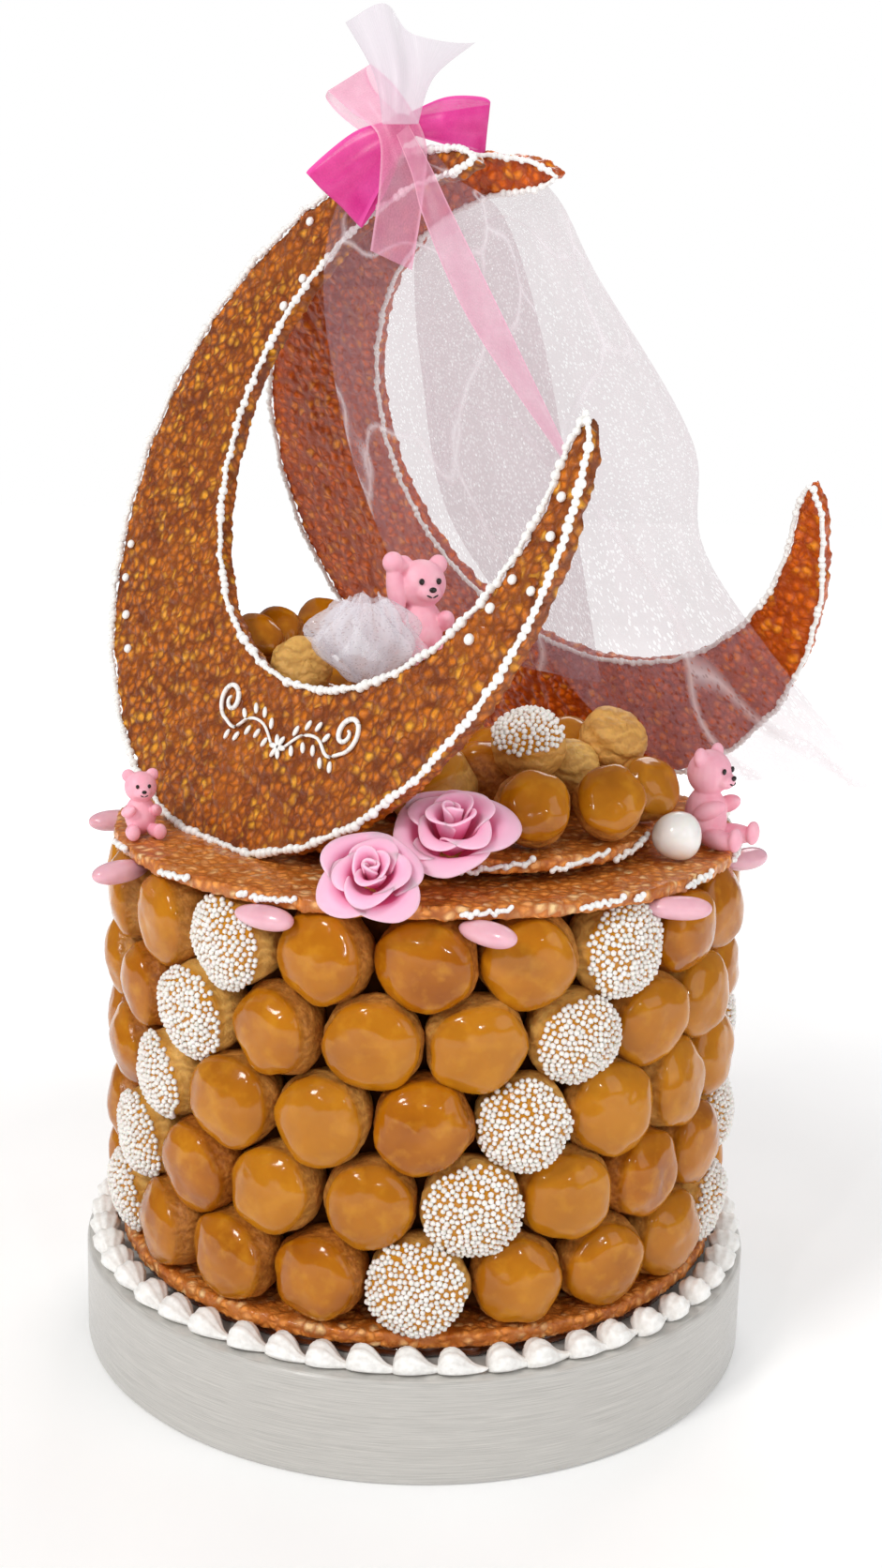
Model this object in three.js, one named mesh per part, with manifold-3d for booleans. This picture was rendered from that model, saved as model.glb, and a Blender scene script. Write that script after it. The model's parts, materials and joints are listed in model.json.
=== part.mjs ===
// A croquembouche in the form of a cradle. A white drum carries a drum-shaped wall of glazed
// choux between two nougatine discs. On top, two nougatine crescents lean on each other over a
// heap of choux, with sugar bears, sugar roses, dragees, a tulle veil and a ribbon bow.
// Millimetres, +Z up, front towards -Y. The origin is the middle of the drum's underside.

import * as THREE from 'three';
import { mergeVertices } from 'three/addons/utils/BufferGeometryUtils.js';
import Module from 'manifold-3d';

const wasm = await Module();
wasm.setup();

// Clearance left between pieces that rest on each other.
const GAP = 0.3;

// White drum, and the ring of piped icing drops on its top edge.
const DRUM_RADIUS = 150;
const DRUM_HEIGHT = 45;
const DRUM_EDGE = 2;
const DROP_COUNT = 50;
const DROP_RING_RADIUS = 142;
const DROP_PROFILE = [2.4, 6.6, 5.0];
const DROP_SIDES = 4;

// Nougatine discs, on a thin bed of dark caramel.
const BED_RADIUS = 131;
const BED_THICKNESS = 5.1;
const BOTTOM_DISC_RADIUS = 134.6;
const BOTTOM_DISC_THICKNESS = 6.8;
const TOP_DISC_RADIUS = 137;
const DISC_THICKNESS = 5.8;
const DISC_WOBBLE = 0.5;
const DISC_SIDES = 36;

// Wall of choux: rows of twenty, each row half a choux round from the next.
const ROWS = 5;
const CHOUX_PER_ROW = 20;
const ROW_PITCH = 33.35;
const ROW_CORE_RADIUS = 115;
const CHOUX_RING_RADIUS = 125.5;
const CHOUX_HALF_WIDTH = 19.3;
const CHOUX_HALF_HEIGHT = 18.9;
const CHOUX_HALF_DEPTH = 17.5;
const TOP_ROW_PHASE = 0.9;
const CHOUX_UNEVENNESS = 0.045;

// Small tray of nougatine under the heap, on a pad of caramel.
const TRAY_CENTRE = [17, -27];
const TRAY_RADIUS = 80;
const TRAY_THICKNESS = 6;
const TRAY_PAD_RADIUS = 62;
const TRAY_PAD_THICKNESS = 3.7;

// Crescents: an outer and an inner circle, open over an angle at one side.
const CRESCENT_RADIUS = 154;
const CRESCENT_HOLE_RADIUS = 111.4;
const CRESCENT_HOLE_OFFSET = 42.2;
const CRESCENT_TAPER = 6;
const CRESCENT_THICKNESS = 7;
const CRESCENT_LEAN = 21;
const FRONT_CRESCENT = { centre: [-46, -15, 376.8], turn: 52, mouth: 48, gape: 31, lean: CRESCENT_LEAN };
const REAR_CRESCENT = { centre: [41.4, 69.5, 376], turn: 39, mouth: 38, gape: 33, lean: -CRESCENT_LEAN };

// Dragees round the top disc's edge, each in the notch between two choux.
const DRAGEE_LENGTH = 27;
const DRAGEE_WIDTH = 12;
const DRAGEE_HEIGHT = 10;
const DRAGEE_PRESS = 1.4;
const DRAGEE_NOTCHES = 2;
const DRAGEE_RING_RADIUS = 138.5;
const DRAGEE_STAND_OFF = 3;
const DRAGEE_TURNS = [50, 45, 40, 75, 20, 60, 35, 60, 75, 5];

// White sugared almonds by the right bear.
const EGG_PLACE = [103.5, -60];
const EGG_RADIUS = 10.2;
const ALMOND_PLACE = [129, 9];
const ALMOND_LENGTH = 17;

// Heap of choux inside the cradle: plan position, radius and, off the floor, height. The hidden
// ones are one core.
const CORE_CHOUX = [
  [2, -62, 19], [24, -40, 19], [-8, -34, 19], [29, -8, 19], [0, -4, 19], [60, -12, 20],
  [-34, -8, 19], [8, 24, 19], [-24, 22, 19], [-50, 30, 19], [-28, 50, 19], [-74, 42, 19],
  [-56, 66, 19], [-46, 8, 18, 277], [-74, 42, 18, 284], [-56, 68, 18, 284],
  [-20, -14, 18, 289], [-14, 10, 19, 289], [-34, 30, 18, 284],
];
const HEAP_CHOUX = [
  [42, -86, 17.5], [74, -70, 17], [60, -40, 13, 270], [92, -40, 16], [41, -58, 15, 283],
  [79, -24, 15, 286], [-56, -2, 15, 302], [-79, 28, 13.5, 308], [-71, 56, 14, 307.5],
  [-51, 83, 15.5, 307.5],
];
const CHOUX_FLATNESS = 0.92;
const PRESS_GAP = 0.4;

// Sugar bears: height, plan position, seat above the top disc, the way each one faces, and
// whether an arm is raised.
const BEARS = [
  { name: 'bear_left', height: 30, at: [-121, -40], seat: 0, facing: 20, wave: false },
  { name: 'bear_middle', height: 49, at: [-6, 12], seat: 69, facing: 25, wave: true },
  { name: 'bear_right', height: 45, at: [117, -28], seat: 0, facing: 55, wave: false },
];

// Sugar roses: radius, middle, and how far each one looks up from level.
const ROSES = [
  { name: 'rose_small', radius: 18, at: [-20, -137, 244.5], up: 41 },
  { name: 'rose_large', radius: 21.5, at: [10, -110, 255], up: 60 },
];

// Tulle, organza and satin ribbon: all of them thin, and tied at the top of the crescents.
const CLOTH_THICKNESS = 1;
const CLOTH_STAND_OFF = 2;
const POUF_MIDDLE = [-27, -24, 318];
const POUF_RADII = [21, 17, 20];
const KNOT = [-18, 30, 529];
const KNOT_RADIUS = 7.5;

const colours = {
  icing: 0xf3f1ee,
  drum: 0xd6d6d4,
  caramel: 0x4a1f0c,
  nougatine: 0xb87424,
  choux: 0xc08a3e,
  tulle: 0xe6e4ee,
  organza: 0xf0c6d8,
  satin: 0xdf3f9d,
  sugarPink: 0xf2aac6,
  sugarWhite: 0xf1eeea,
};

const radians = THREE.MathUtils.degToRad;

// A point on a circle about the vertical axis. Angle 0 is at the front, and angles grow to +X.
function around(radius, degrees, z) {
  const angle = radians(degrees);
  return new THREE.Vector3(radius * Math.sin(angle), -radius * Math.cos(angle), z);
}

// A repeatable unevenness between 0 and 1 for hand-made pieces.
function uneven(seed) {
  const value = Math.sin(seed * 12.9898) * 43758.5453;
  return value - Math.floor(value);
}

function material(colour, roughness = 0.5, metalness = 0) {
  return new THREE.MeshStandardMaterial({ color: colour, roughness, metalness });
}

const model = new THREE.Group();

function place(name, geometry, colour, roughness, parent = model) {
  const mesh = new THREE.Mesh(geometry, material(colour, roughness));
  mesh.name = name;
  parent.add(mesh);
  return mesh;
}

// Booleans: a closed geometry to a solid and back.
function solidOf(geometry) {
  const bare = geometry.clone();
  bare.deleteAttribute('normal');
  bare.deleteAttribute('uv');
  const merged = mergeVertices(bare, 1e-4);
  return new wasm.Manifold(new wasm.Mesh({
    numProp: 3,
    vertProperties: new Float32Array(merged.attributes.position.array),
    triVerts: new Uint32Array(merged.index.array),
  }));
}

function geometryOf(solid) {
  const mesh = solid.getMesh();
  const geometry = new THREE.BufferGeometry();
  geometry.setAttribute('position', new THREE.BufferAttribute(mesh.vertProperties, 3));
  geometry.setIndex(new THREE.BufferAttribute(mesh.triVerts, 1));
  geometry.computeVertexNormals();
  return geometry;
}

function joined(geometries) {
  return geometryOf(geometries.map(solidOf).reduce((all, next) => all.add(next)));
}

// A low-sided ball with its poles on the local Z axis.
function ball(radiusX, radiusY, radiusZ, sides = 6, rings = 4) {
  const geometry = new THREE.SphereGeometry(1, sides, rings);
  geometry.rotateX(Math.PI / 2);
  geometry.scale(radiusX, radiusY, radiusZ);
  return geometry;
}

// A closed geometry from a grid of points that wraps round on itself both ways.
function ringGeometry(steps, sides, pointAt) {
  const positions = [];
  const index = [];
  for (let step = 0; step < steps; step += 1) {
    for (let side = 0; side < sides; side += 1) {
      positions.push(...pointAt(step, side).toArray());
      const nextStep = (step + 1) % steps;
      const nextSide = (side + 1) % sides;
      const a = step * sides + side;
      const b = nextStep * sides + side;
      const c = nextStep * sides + nextSide;
      const d = step * sides + nextSide;
      index.push(a, c, b, a, d, c);
    }
  }
  const geometry = new THREE.BufferGeometry();
  geometry.setAttribute('position', new THREE.Float32BufferAttribute(positions, 3));
  geometry.setIndex(index);
  geometry.computeVertexNormals();
  return geometry;
}

// A thin closed solid that follows a surface: pointAt(u, v) for u and v from 0 to 1.
function sheetGeometry(columns, rows, thickness, pointAt) {
  const STEP = 0.01;
  const clamp = THREE.MathUtils.clamp;
  const front = [];
  const back = [];
  for (let row = 0; row <= rows; row += 1) {
    for (let column = 0; column <= columns; column += 1) {
      const u = column / columns;
      const v = row / rows;
      const point = pointAt(u, v);
      const alongU = pointAt(clamp(u + STEP, 0, 1), v).sub(pointAt(clamp(u - STEP, 0, 1), v));
      const alongV = pointAt(u, clamp(v + STEP, 0, 1)).sub(pointAt(u, clamp(v - STEP, 0, 1)));
      const normal = alongV.cross(alongU).normalize().multiplyScalar(thickness / 2);
      front.push(point.clone().add(normal));
      back.push(point.clone().sub(normal));
    }
  }
  const width = columns + 1;
  const offset = front.length;
  const index = [];
  const quad = (a, b, c, d) => index.push(a, b, c, a, c, d);
  for (let row = 0; row < rows; row += 1) {
    for (let column = 0; column < columns; column += 1) {
      const a = row * width + column;
      quad(a, a + width, a + width + 1, a + 1);
      quad(offset + a, offset + a + 1, offset + a + width + 1, offset + a + width);
    }
    const left = row * width;
    const right = left + columns;
    quad(left, offset + left, offset + left + width, left + width);
    quad(right + width, offset + right + width, offset + right, right);
  }
  for (let column = 0; column < columns; column += 1) {
    const bottom = rows * width + column;
    quad(column + 1, offset + column + 1, offset + column, column);
    quad(bottom, offset + bottom, offset + bottom + 1, bottom + 1);
  }
  const geometry = new THREE.BufferGeometry();
  const positions = [...front, ...back].flatMap((point) => point.toArray());
  geometry.setAttribute('position', new THREE.Float32BufferAttribute(positions, 3));
  geometry.setIndex(index);
  geometry.computeVertexNormals();
  return geometry;
}

// A disc rolled and cut by hand: its edge wanders a little.
function rimRadius(radius, angle, seed) {
  const wander = Math.sin(3 * angle + seed) + 0.6 * Math.sin(7 * angle + 2 * seed);
  return radius + DISC_WOBBLE * 0.6 * wander;
}

function discGeometry(radius, bottom, thickness, seed, grow = 0) {
  const outline = new THREE.Shape();
  for (let side = 0; side < DISC_SIDES; side += 1) {
    const angle = (side / DISC_SIDES) * 2 * Math.PI;
    const edge = rimRadius(radius, angle, seed) + grow;
    const x = edge * Math.cos(angle);
    const y = edge * Math.sin(angle);
    if (side === 0) outline.moveTo(x, y);
    else outline.lineTo(x, y);
  }
  const settings = { depth: thickness + 2 * grow, bevelEnabled: false };
  return new THREE.ExtrudeGeometry(outline, settings).translate(0, 0, bottom - grow);
}

// Heights of the stack, from the drum up.
const bedBottom = DRUM_HEIGHT + GAP;
const bottomDiscBottom = bedBottom + BED_THICKNESS + GAP;
const bottomDiscTop = bottomDiscBottom + BOTTOM_DISC_THICKNESS;
const rowFloor = bottomDiscTop + GAP;
const rowCeiling = rowFloor + 2 * CHOUX_HALF_HEIGHT + (ROWS - 1) * ROW_PITCH;
const topDiscBottom = rowCeiling + GAP;
const topDiscTop = topDiscBottom + DISC_THICKNESS;
const trayPadBottom = topDiscTop + GAP;
const trayBottom = trayPadBottom + TRAY_PAD_THICKNESS + GAP;
const trayTop = trayBottom + TRAY_THICKNESS;
const TOP_DISC_SEED = 1.3;
const TRAY_SEED = 4.1;

function buildDrum() {
  const profile = [
    new THREE.Vector2(0, 0),
    new THREE.Vector2(DRUM_RADIUS - DRUM_EDGE, 0),
    new THREE.Vector2(DRUM_RADIUS, DRUM_EDGE),
    new THREE.Vector2(DRUM_RADIUS, DRUM_HEIGHT - DRUM_EDGE),
    new THREE.Vector2(DRUM_RADIUS - DRUM_EDGE, DRUM_HEIGHT),
    new THREE.Vector2(0, DRUM_HEIGHT),
  ];
  const geometry = new THREE.LatheGeometry(profile, 40).rotateX(Math.PI / 2);
  place('base_drum', geometry, colours.drum, 0.4);
}

// Each drop swells at its head and runs out into the tail that the next drop covers.
function buildIcingBorder() {
  const steps = DROP_COUNT * DROP_PROFILE.length;
  const lowest = Math.sin(radians(90 - 360 * 2 / DROP_SIDES));
  const pointAt = (step, side) => {
    const size = DROP_PROFILE[step % DROP_PROFILE.length];
    const sideAngle = radians(90 - (360 * side) / DROP_SIDES);
    const radius = DROP_RING_RADIUS + size * Math.cos(sideAngle);
    const z = bedBottom + size * (Math.sin(sideAngle) - lowest);
    return around(radius, (360 * step) / steps, z);
  };
  place('icing_border', ringGeometry(steps, DROP_SIDES, pointAt), colours.icing, 0.5);
}

function buildDiscs() {
  const bed = discGeometry(BED_RADIUS, bedBottom, BED_THICKNESS, 0.4);
  place('caramel_bed', bed, colours.caramel, 0.25);
  const bottom = discGeometry(BOTTOM_DISC_RADIUS, bottomDiscBottom, BOTTOM_DISC_THICKNESS, 2.2);
  place('bottom_disc', bottom, colours.nougatine, 0.3);
  const top = discGeometry(TOP_DISC_RADIUS, topDiscBottom, DISC_THICKNESS, TOP_DISC_SEED);
  place('top_disc', top, colours.nougatine, 0.3);
  const pad = discGeometry(TRAY_PAD_RADIUS, trayPadBottom, TRAY_PAD_THICKNESS, 3.3);
  place('tray_pad', pad.translate(...TRAY_CENTRE, 0), colours.caramel, 0.25);
  const tray = discGeometry(TRAY_RADIUS, trayBottom, TRAY_THICKNESS, TRAY_SEED);
  place('tray_disc', tray.translate(...TRAY_CENTRE, 0), colours.nougatine, 0.3);
}

// One choux lying on its side, with its domed cap facing out along local +Z.
function chouxGeometry(halfWidth, halfHeight, halfDepth, sides = 6) {
  const profile = [[0, -1], [1, -0.12], [0.76, 0.74], [0, 1]];
  const points = profile.map(([radius, height]) => new THREE.Vector2(radius, height));
  const geometry = new THREE.LatheGeometry(points, sides).rotateX(Math.PI / 2);
  return geometry.scale(halfWidth, halfHeight, halfDepth);
}

function chouxAngle(row, place) {
  const rowsBelowTop = ROWS - 1 - row;
  return TOP_ROW_PHASE + (360 / CHOUX_PER_ROW) * (place - rowsBelowTop / 2);
}

// A row is one solid: twenty choux stuck to the filling of choux behind them.
function buildRow(row) {
  const middle = rowFloor + CHOUX_HALF_HEIGHT + row * ROW_PITCH;
  const low = row === 0 ? rowFloor : middle - ROW_PITCH / 2 + GAP / 2;
  const high = row === ROWS - 1 ? rowCeiling : middle + ROW_PITCH / 2 - GAP / 2;
  const core = new THREE.CylinderGeometry(ROW_CORE_RADIUS, ROW_CORE_RADIUS, high - low, 20);
  core.rotateX(Math.PI / 2).translate(0, 0, (low + high) / 2);
  const pieces = [core];
  for (let place = 0; place < CHOUX_PER_ROW; place += 1) {
    const size = 1 - CHOUX_UNEVENNESS * uneven(row * CHOUX_PER_ROW + place);
    const depth = CHOUX_HALF_DEPTH * (1 - CHOUX_UNEVENNESS * uneven(7 * row + place));
    const choux = chouxGeometry(CHOUX_HALF_WIDTH * size, CHOUX_HALF_HEIGHT * size, depth);
    const degrees = chouxAngle(row, place);
    choux.rotateX(Math.PI / 2).rotateZ(radians(degrees));
    choux.translate(...around(CHOUX_RING_RADIUS, degrees, middle).toArray());
    pieces.push(choux);
  }
  place(`choux_row_${row + 1}`, joined(pieces), colours.choux, 0.3);
}

// The crescent's outline in its own plane: local +X points at the middle of the mouth.
function crescentGeometry(gape) {
  const mouth = radians(gape);
  const outerEnd = radians(gape + CRESCENT_TAPER);
  const polar = (radius, angle) => [radius * Math.cos(angle), radius * Math.sin(angle)];
  const [tipX, tipY] = polar(CRESCENT_RADIUS - 4, mouth);
  const innerEnd = Math.atan2(tipY, tipX - CRESCENT_HOLE_OFFSET) + radians(CRESCENT_TAPER);
  const [innerX, innerY] = polar(CRESCENT_HOLE_RADIUS, innerEnd);
  const [bulgeX, bulgeY] = polar(CRESCENT_RADIUS - 1, mouth + radians(1));
  const outline = new THREE.Shape();
  outline.absarc(0, 0, CRESCENT_RADIUS, outerEnd, 2 * Math.PI - outerEnd, false);
  outline.quadraticCurveTo(bulgeX, -bulgeY, tipX, -tipY);
  outline.lineTo(innerX + CRESCENT_HOLE_OFFSET, -innerY);
  outline.absarc(CRESCENT_HOLE_OFFSET, 0, CRESCENT_HOLE_RADIUS, -innerEnd, innerEnd, true);
  outline.lineTo(tipX, tipY);
  outline.quadraticCurveTo(bulgeX, bulgeY, ...polar(CRESCENT_RADIUS, outerEnd));
  const settings = { depth: CRESCENT_THICKNESS, bevelEnabled: false, curveSegments: 11 };
  return new THREE.ExtrudeGeometry(outline, settings).translate(0, 0, -CRESCENT_THICKNESS);
}

// A crescent's place: turned about the vertical, leaning back, its mouth turned up.
function crescentMatrix({ centre, turn, mouth, lean }) {
  const matrix = new THREE.Matrix4().makeTranslation(...centre);
  matrix.multiply(new THREE.Matrix4().makeRotationZ(radians(-turn)));
  matrix.multiply(new THREE.Matrix4().makeRotationX(radians(90 - lean)));
  return matrix.multiply(new THREE.Matrix4().makeRotationZ(radians(mouth)));
}

// The foot of each crescent is filed flat where it stands on the top disc.
function buildCrescent(name, pose) {
  const plate = solidOf(crescentGeometry(pose.gape).applyMatrix4(crescentMatrix(pose)));
  const reach = 2 * CRESCENT_RADIUS;
  const below = new THREE.BoxGeometry(2 * reach, 2 * reach, reach);
  below.translate(0, 0, topDiscTop + GAP - reach / 2);
  place(name, geometryOf(plate.subtract(solidOf(below))), colours.nougatine, 0.3);
}

// An almond-shaped dragee, its long axis along local X.
function drageeGeometry(length, width, height) {
  const profile = [[0, -1], [0.78, -0.5], [1, 0.05], [0.72, 0.62], [0, 1]];
  const points = profile.map(([radius, along]) => new THREE.Vector2(radius, along));
  const geometry = new THREE.LatheGeometry(points, 6).rotateZ(-Math.PI / 2);
  return geometry.scale(length / 2, width / 2, height / 2);
}

// What pieces are pressed against, grown by the clearance.
const grownTopDisc = solidOf(
  discGeometry(TOP_DISC_RADIUS, topDiscBottom, DISC_THICKNESS, TOP_DISC_SEED, GAP),
);

// Pink dragees pressed up under the edge of the top disc, every second notch between the choux.
function buildDragees() {
  const pitch = 360 / CHOUX_PER_ROW;
  const z = topDiscBottom + DRAGEE_PRESS - DRAGEE_HEIGHT / 2;
  DRAGEE_TURNS.forEach((turn, number) => {
    const degrees = TOP_ROW_PHASE + pitch / 2 + number * DRAGEE_NOTCHES * pitch;
    const radius = DRAGEE_RING_RADIUS + DRAGEE_STAND_OFF * Math.sin(radians(turn));
    const dragee = drageeGeometry(DRAGEE_LENGTH, DRAGEE_WIDTH, DRAGEE_HEIGHT);
    dragee.rotateZ(radians(degrees - turn)).translate(...around(radius, degrees, z).toArray());
    const seated = geometryOf(solidOf(dragee).subtract(grownTopDisc));
    place(`dragee_pink_${number + 1}`, seated, colours.sugarPink, 0.25);
  });
}

// The height at which a ball rests on the tray or beside it on the top disc.
function restingHeight(x, y, radius) {
  const beyondTray = Math.hypot(x - TRAY_CENTRE[0], y - TRAY_CENTRE[1]) - TRAY_RADIUS;
  const reach = radius + GAP;
  if (beyondTray >= reach) return topDiscTop + reach;
  const overRim = Math.max(beyondTray, 0);
  return Math.max(topDiscTop + reach, trayTop + Math.sqrt(reach ** 2 - overRim ** 2));
}

function coreGeometry(grow) {
  return joined(CORE_CHOUX.map(([x, y, radius, height]) => {
    const z = height ?? restingHeight(x, y, radius);
    return ball(radius + grow, radius + grow, radius + grow).translate(x, y, z);
  }));
}

const grownCore = solidOf(coreGeometry(PRESS_GAP));

function buildHeap() {
  place('heap_core', coreGeometry(0), colours.choux, 0.4);
  HEAP_CHOUX.forEach(([x, y, radius, height], number) => {
    const halfHeight = radius * CHOUX_FLATNESS;
    const z = height ?? restingHeight(x, y, halfHeight);
    const choux = chouxGeometry(radius, radius, halfHeight).translate(x, y, z);
    const seated = geometryOf(solidOf(choux).subtract(grownCore));
    place(`heap_choux_${number + 1}`, seated, colours.choux, 0.4);
  });
}

function buildAlmonds() {
  const egg = drageeGeometry(2 * EGG_RADIUS, 2 * EGG_RADIUS, 2 * EGG_RADIUS);
  egg.translate(...EGG_PLACE, topDiscTop + GAP + EGG_RADIUS);
  place('almond_white_1', egg, colours.sugarWhite, 0.3);
  const almond = drageeGeometry(ALMOND_LENGTH, DRAGEE_WIDTH, DRAGEE_HEIGHT);
  almond.rotateZ(radians(40)).translate(...ALMOND_PLACE, topDiscTop + GAP + DRAGEE_HEIGHT / 2);
  place('almond_white_2', almond, colours.sugarWhite, 0.3);
}

// A sitting bear modelled from sugar paste, one unit tall, facing -Y with its seat at z 0.
function bearGeometry(wave) {
  const part = (rx, ry, rz, x, y, z, rings = 3) => ball(rx, ry, rz, 6, rings).translate(x, y, z);
  const raised = part(0.1, 0.1, 0.3, -0.27, -0.06, 0.62);
  const lowered = part(0.2, 0.12, 0.1, -0.2, -0.16, 0.36);
  return joined([
    part(0.25, 0.22, 0.3, 0, 0, 0.29),
    part(0.25, 0.22, 0.23, 0, -0.02, 0.71, 4),
    part(0.1, 0.06, 0.1, -0.16, 0, 0.86),
    part(0.1, 0.06, 0.1, 0.16, 0, 0.86),
    part(0.11, 0.1, 0.08, 0, -0.2, 0.66),
    wave ? raised : lowered,
    part(0.2, 0.12, 0.1, 0.2, -0.16, 0.36),
    part(0.11, 0.25, 0.1, -0.18, -0.22, 0.11),
    part(0.11, 0.25, 0.1, 0.18, -0.22, 0.11),
  ]);
}

function buildBears() {
  BEARS.forEach(({ name, height, at, seat, facing, wave }) => {
    const bear = bearGeometry(wave).scale(height, height, height).rotateZ(radians(facing));
    bear.computeBoundingBox();
    bear.translate(...at, topDiscTop + GAP + seat - bear.boundingBox.min.z);
    place(name, geometryOf(solidOf(bear).subtract(grownCore)), colours.sugarPink, 0.6);
  });
}

// A rose of sugar paste: three rings of petals, one unit in radius, opening along +Z.
function roseGeometry() {
  const profile = [
    [0, -0.45], [0.5, -0.4], [1, 0.1], [0.9, 0.2], [0.6, 0.02], [0.66, 0.36], [0.55, 0.4],
    [0.34, 0.16], [0.36, 0.52], [0.22, 0.54], [0.1, 0.32], [0, 0.36],
  ];
  const points = profile.map(([radius, height]) => new THREE.Vector2(radius, height));
  const geometry = new THREE.LatheGeometry(points, 12).rotateX(Math.PI / 2);
  const position = geometry.attributes.position;
  for (let index = 0; index < position.count; index += 1) {
    const x = position.getX(index);
    const y = position.getY(index);
    const radius = Math.hypot(x, y);
    const swell = 1 + 0.09 * radius * Math.cos(5 * Math.atan2(y, x) + 4 * radius);
    position.setXY(index, x * swell, y * swell);
  }
  geometry.computeVertexNormals();
  return geometry;
}

function buildRoses() {
  ROSES.forEach(({ name, radius, at, up }) => {
    const rose = roseGeometry().scale(radius, radius, radius);
    rose.rotateX(radians(90 - up)).translate(...at);
    place(name, geometryOf(solidOf(rose).subtract(grownTopDisc)), colours.sugarPink, 0.7);
  });
}

// A gathered ball of tulle, its folds fanning out from the bottom.
function buildPouf() {
  const pouf = ball(1, 1, 1, 12, 5);
  const position = pouf.attributes.position;
  const point = new THREE.Vector3();
  for (let index = 0; index < position.count; index += 1) {
    point.fromBufferAttribute(position, index);
    const folds = Math.cos(6 * Math.atan2(point.y, point.x));
    point.multiplyScalar(1 + 0.1 * folds * (1 - point.z ** 2));
    position.setXYZ(index, ...point.toArray());
  }
  pouf.scale(...POUF_RADII).translate(...POUF_MIDDLE);
  place('tulle_pouf', geometryOf(solidOf(pouf).subtract(grownCore)), colours.tulle, 0.8);
}

// Depth of a crescent's front face at a place seen from the front.
function faceDepth({ centre, turn, lean }, x, z) {
  const across = Math.tan(radians(lean)) * (z - centre[2]) - Math.sin(radians(turn)) * (x - centre[0]);
  return centre[1] + across / Math.cos(radians(turn));
}

function curve(points) {
  return new THREE.CatmullRomCurve3(points.map((point) => new THREE.Vector3(...point)));
}

// A cloth strung across lines that run down it, left to right, with folds in its lower part.
function clothGeometry(lines, columns, rows, folds, depth) {
  const curves = lines.map(curve);
  return sheetGeometry(columns, rows, CLOTH_THICKNESS, (u, v) => {
    const across = new THREE.CatmullRomCurve3(curves.map((line) => line.getPoint(v)));
    const point = across.getPoint(u);
    point.y += depth * Math.sin(2 * Math.PI * folds * u) * v * v;
    return point;
  });
}

// A ribbon that follows a line, its width lying across the line.
function ribbonGeometry(line, width, across, segments) {
  const path = curve(line);
  const side = new THREE.Vector3(...across).normalize().multiplyScalar(width / 2);
  return sheetGeometry(segments, 1, CLOTH_THICKNESS, (u, v) => (
    path.getPoint(u).addScaledVector(side, 2 * v - 1)
  ));
}

function buildVeils() {
  const front = (x, z) => [x, faceDepth(FRONT_CRESCENT, x, z) - CLOTH_STAND_OFF, z];
  const short = clothGeometry([
    [front(-32, 516), front(-46, 500), [-51, 44, 474], [-50, 42, 440], [-40, 46, 390], [-31, 46, 350]],
    [front(-18, 519), front(-18, 505), [-14, 8, 480], [-6, 8, 440], [6, 24, 385], [18, 34, 330]],
    [front(-4, 519), front(6, 507), [26, -16, 490], [44, -10, 440], [58, 2, 380], [72, 12, 312]],
  ], 5, 8, 2, 4);
  place('veil_short', short, colours.tulle, 0.8);
  const { lean, turn } = REAR_CRESCENT;
  const behind = CRESCENT_THICKNESS / Math.cos(radians(lean)) / Math.cos(radians(turn));
  const back = (x, z) => [x, faceDepth(REAR_CRESCENT, x, z) + behind + CLOTH_STAND_OFF, z];
  const long = clothGeometry([
    [back(-10, 524), back(-10, 500), back(-12, 470), [-8, 76, 430], [6, 62, 365], [46, 44, 309]],
    [back(0, 523), back(18, 508), back(30, 485), [48, 40, 420], [66, 34, 350], [104, 4, 262]],
    [back(8, 523), back(44, 506), [66, 8, 470], [108, -4, 404], [120, -4, 350], [196, -10, 258]],
  ], 7, 9, 3, 5);
  place('veil_long', long, colours.tulle, 0.8);
}

// A bow of satin ribbon: two loops and the knot that gathers them.
function buildBow() {
  const [x, y, z] = KNOT;
  const left = [[x, y, z + 3], [-34, 34, 525], [-52, 40, 512], [-46, 39, 500], [-31, 33, 509], [x, y, z - 3]];
  const right = [[x, y, z + 4], [-2, 32, 540], [12, 33, 540], [17, 34, 534], [0, 31, 530], [x, y, z - 1]];
  const bow = joined([
    ball(KNOT_RADIUS, KNOT_RADIUS, KNOT_RADIUS).translate(x, y, z),
    ribbonGeometry(left, 17, [0.5, -0.3, -0.8], 8),
    ribbonGeometry(right, 20, [-0.2, -0.8, -0.5], 8),
  ]);
  place('satin_bow', bow, colours.satin, 0.4);
}

// Pale organza over the bow: a band down the front, a spread end at the top and a long tail.
function buildOrganza() {
  const band = clothGeometry([
    [[-50, 38, 544], [-40, 30, 535], [-28, 23, 525], [-27, 22, 505], [-30, 17, 478]],
    [[-32, 36, 555], [-20, 26, 544], [-8, 20, 524], [-8, 5, 500], [-12, 1, 470]],
  ], 2, 8, 1, 0);
  const top = clothGeometry([
    [[-28, 17, 529], [-30, 24, 549], [-41, 34, 574]],
    [[-18, 15, 529], [-14, 22, 551], [-17, 38, 579]],
    [[-10, 12, 529], [2, 17, 550], [10, 30, 566]],
  ], 4, 4, 1, 0);
  const tail = clothGeometry([
    [[-20, 17, 525], [-13, 4, 508], [-7, -6, 489], [13, -14, 449], [52, -14, 396]],
    [[-15, 17, 529], [-5, 0, 511], [4, -10, 493], [25, -16, 454], [55, -16, 398]],
  ], 1, 6, 1, 0);
  const pinch = ball(6, 5.4, 6).translate(KNOT[0], KNOT[1] - KNOT_RADIUS - 4.5, KNOT[2]);
  const tie = joined([band, pinch, top, tail]).translate(0, -CLOTH_STAND_OFF - GAP, 0);
  place('organza_tie', tie, colours.organza, 0.6);
}

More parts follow.
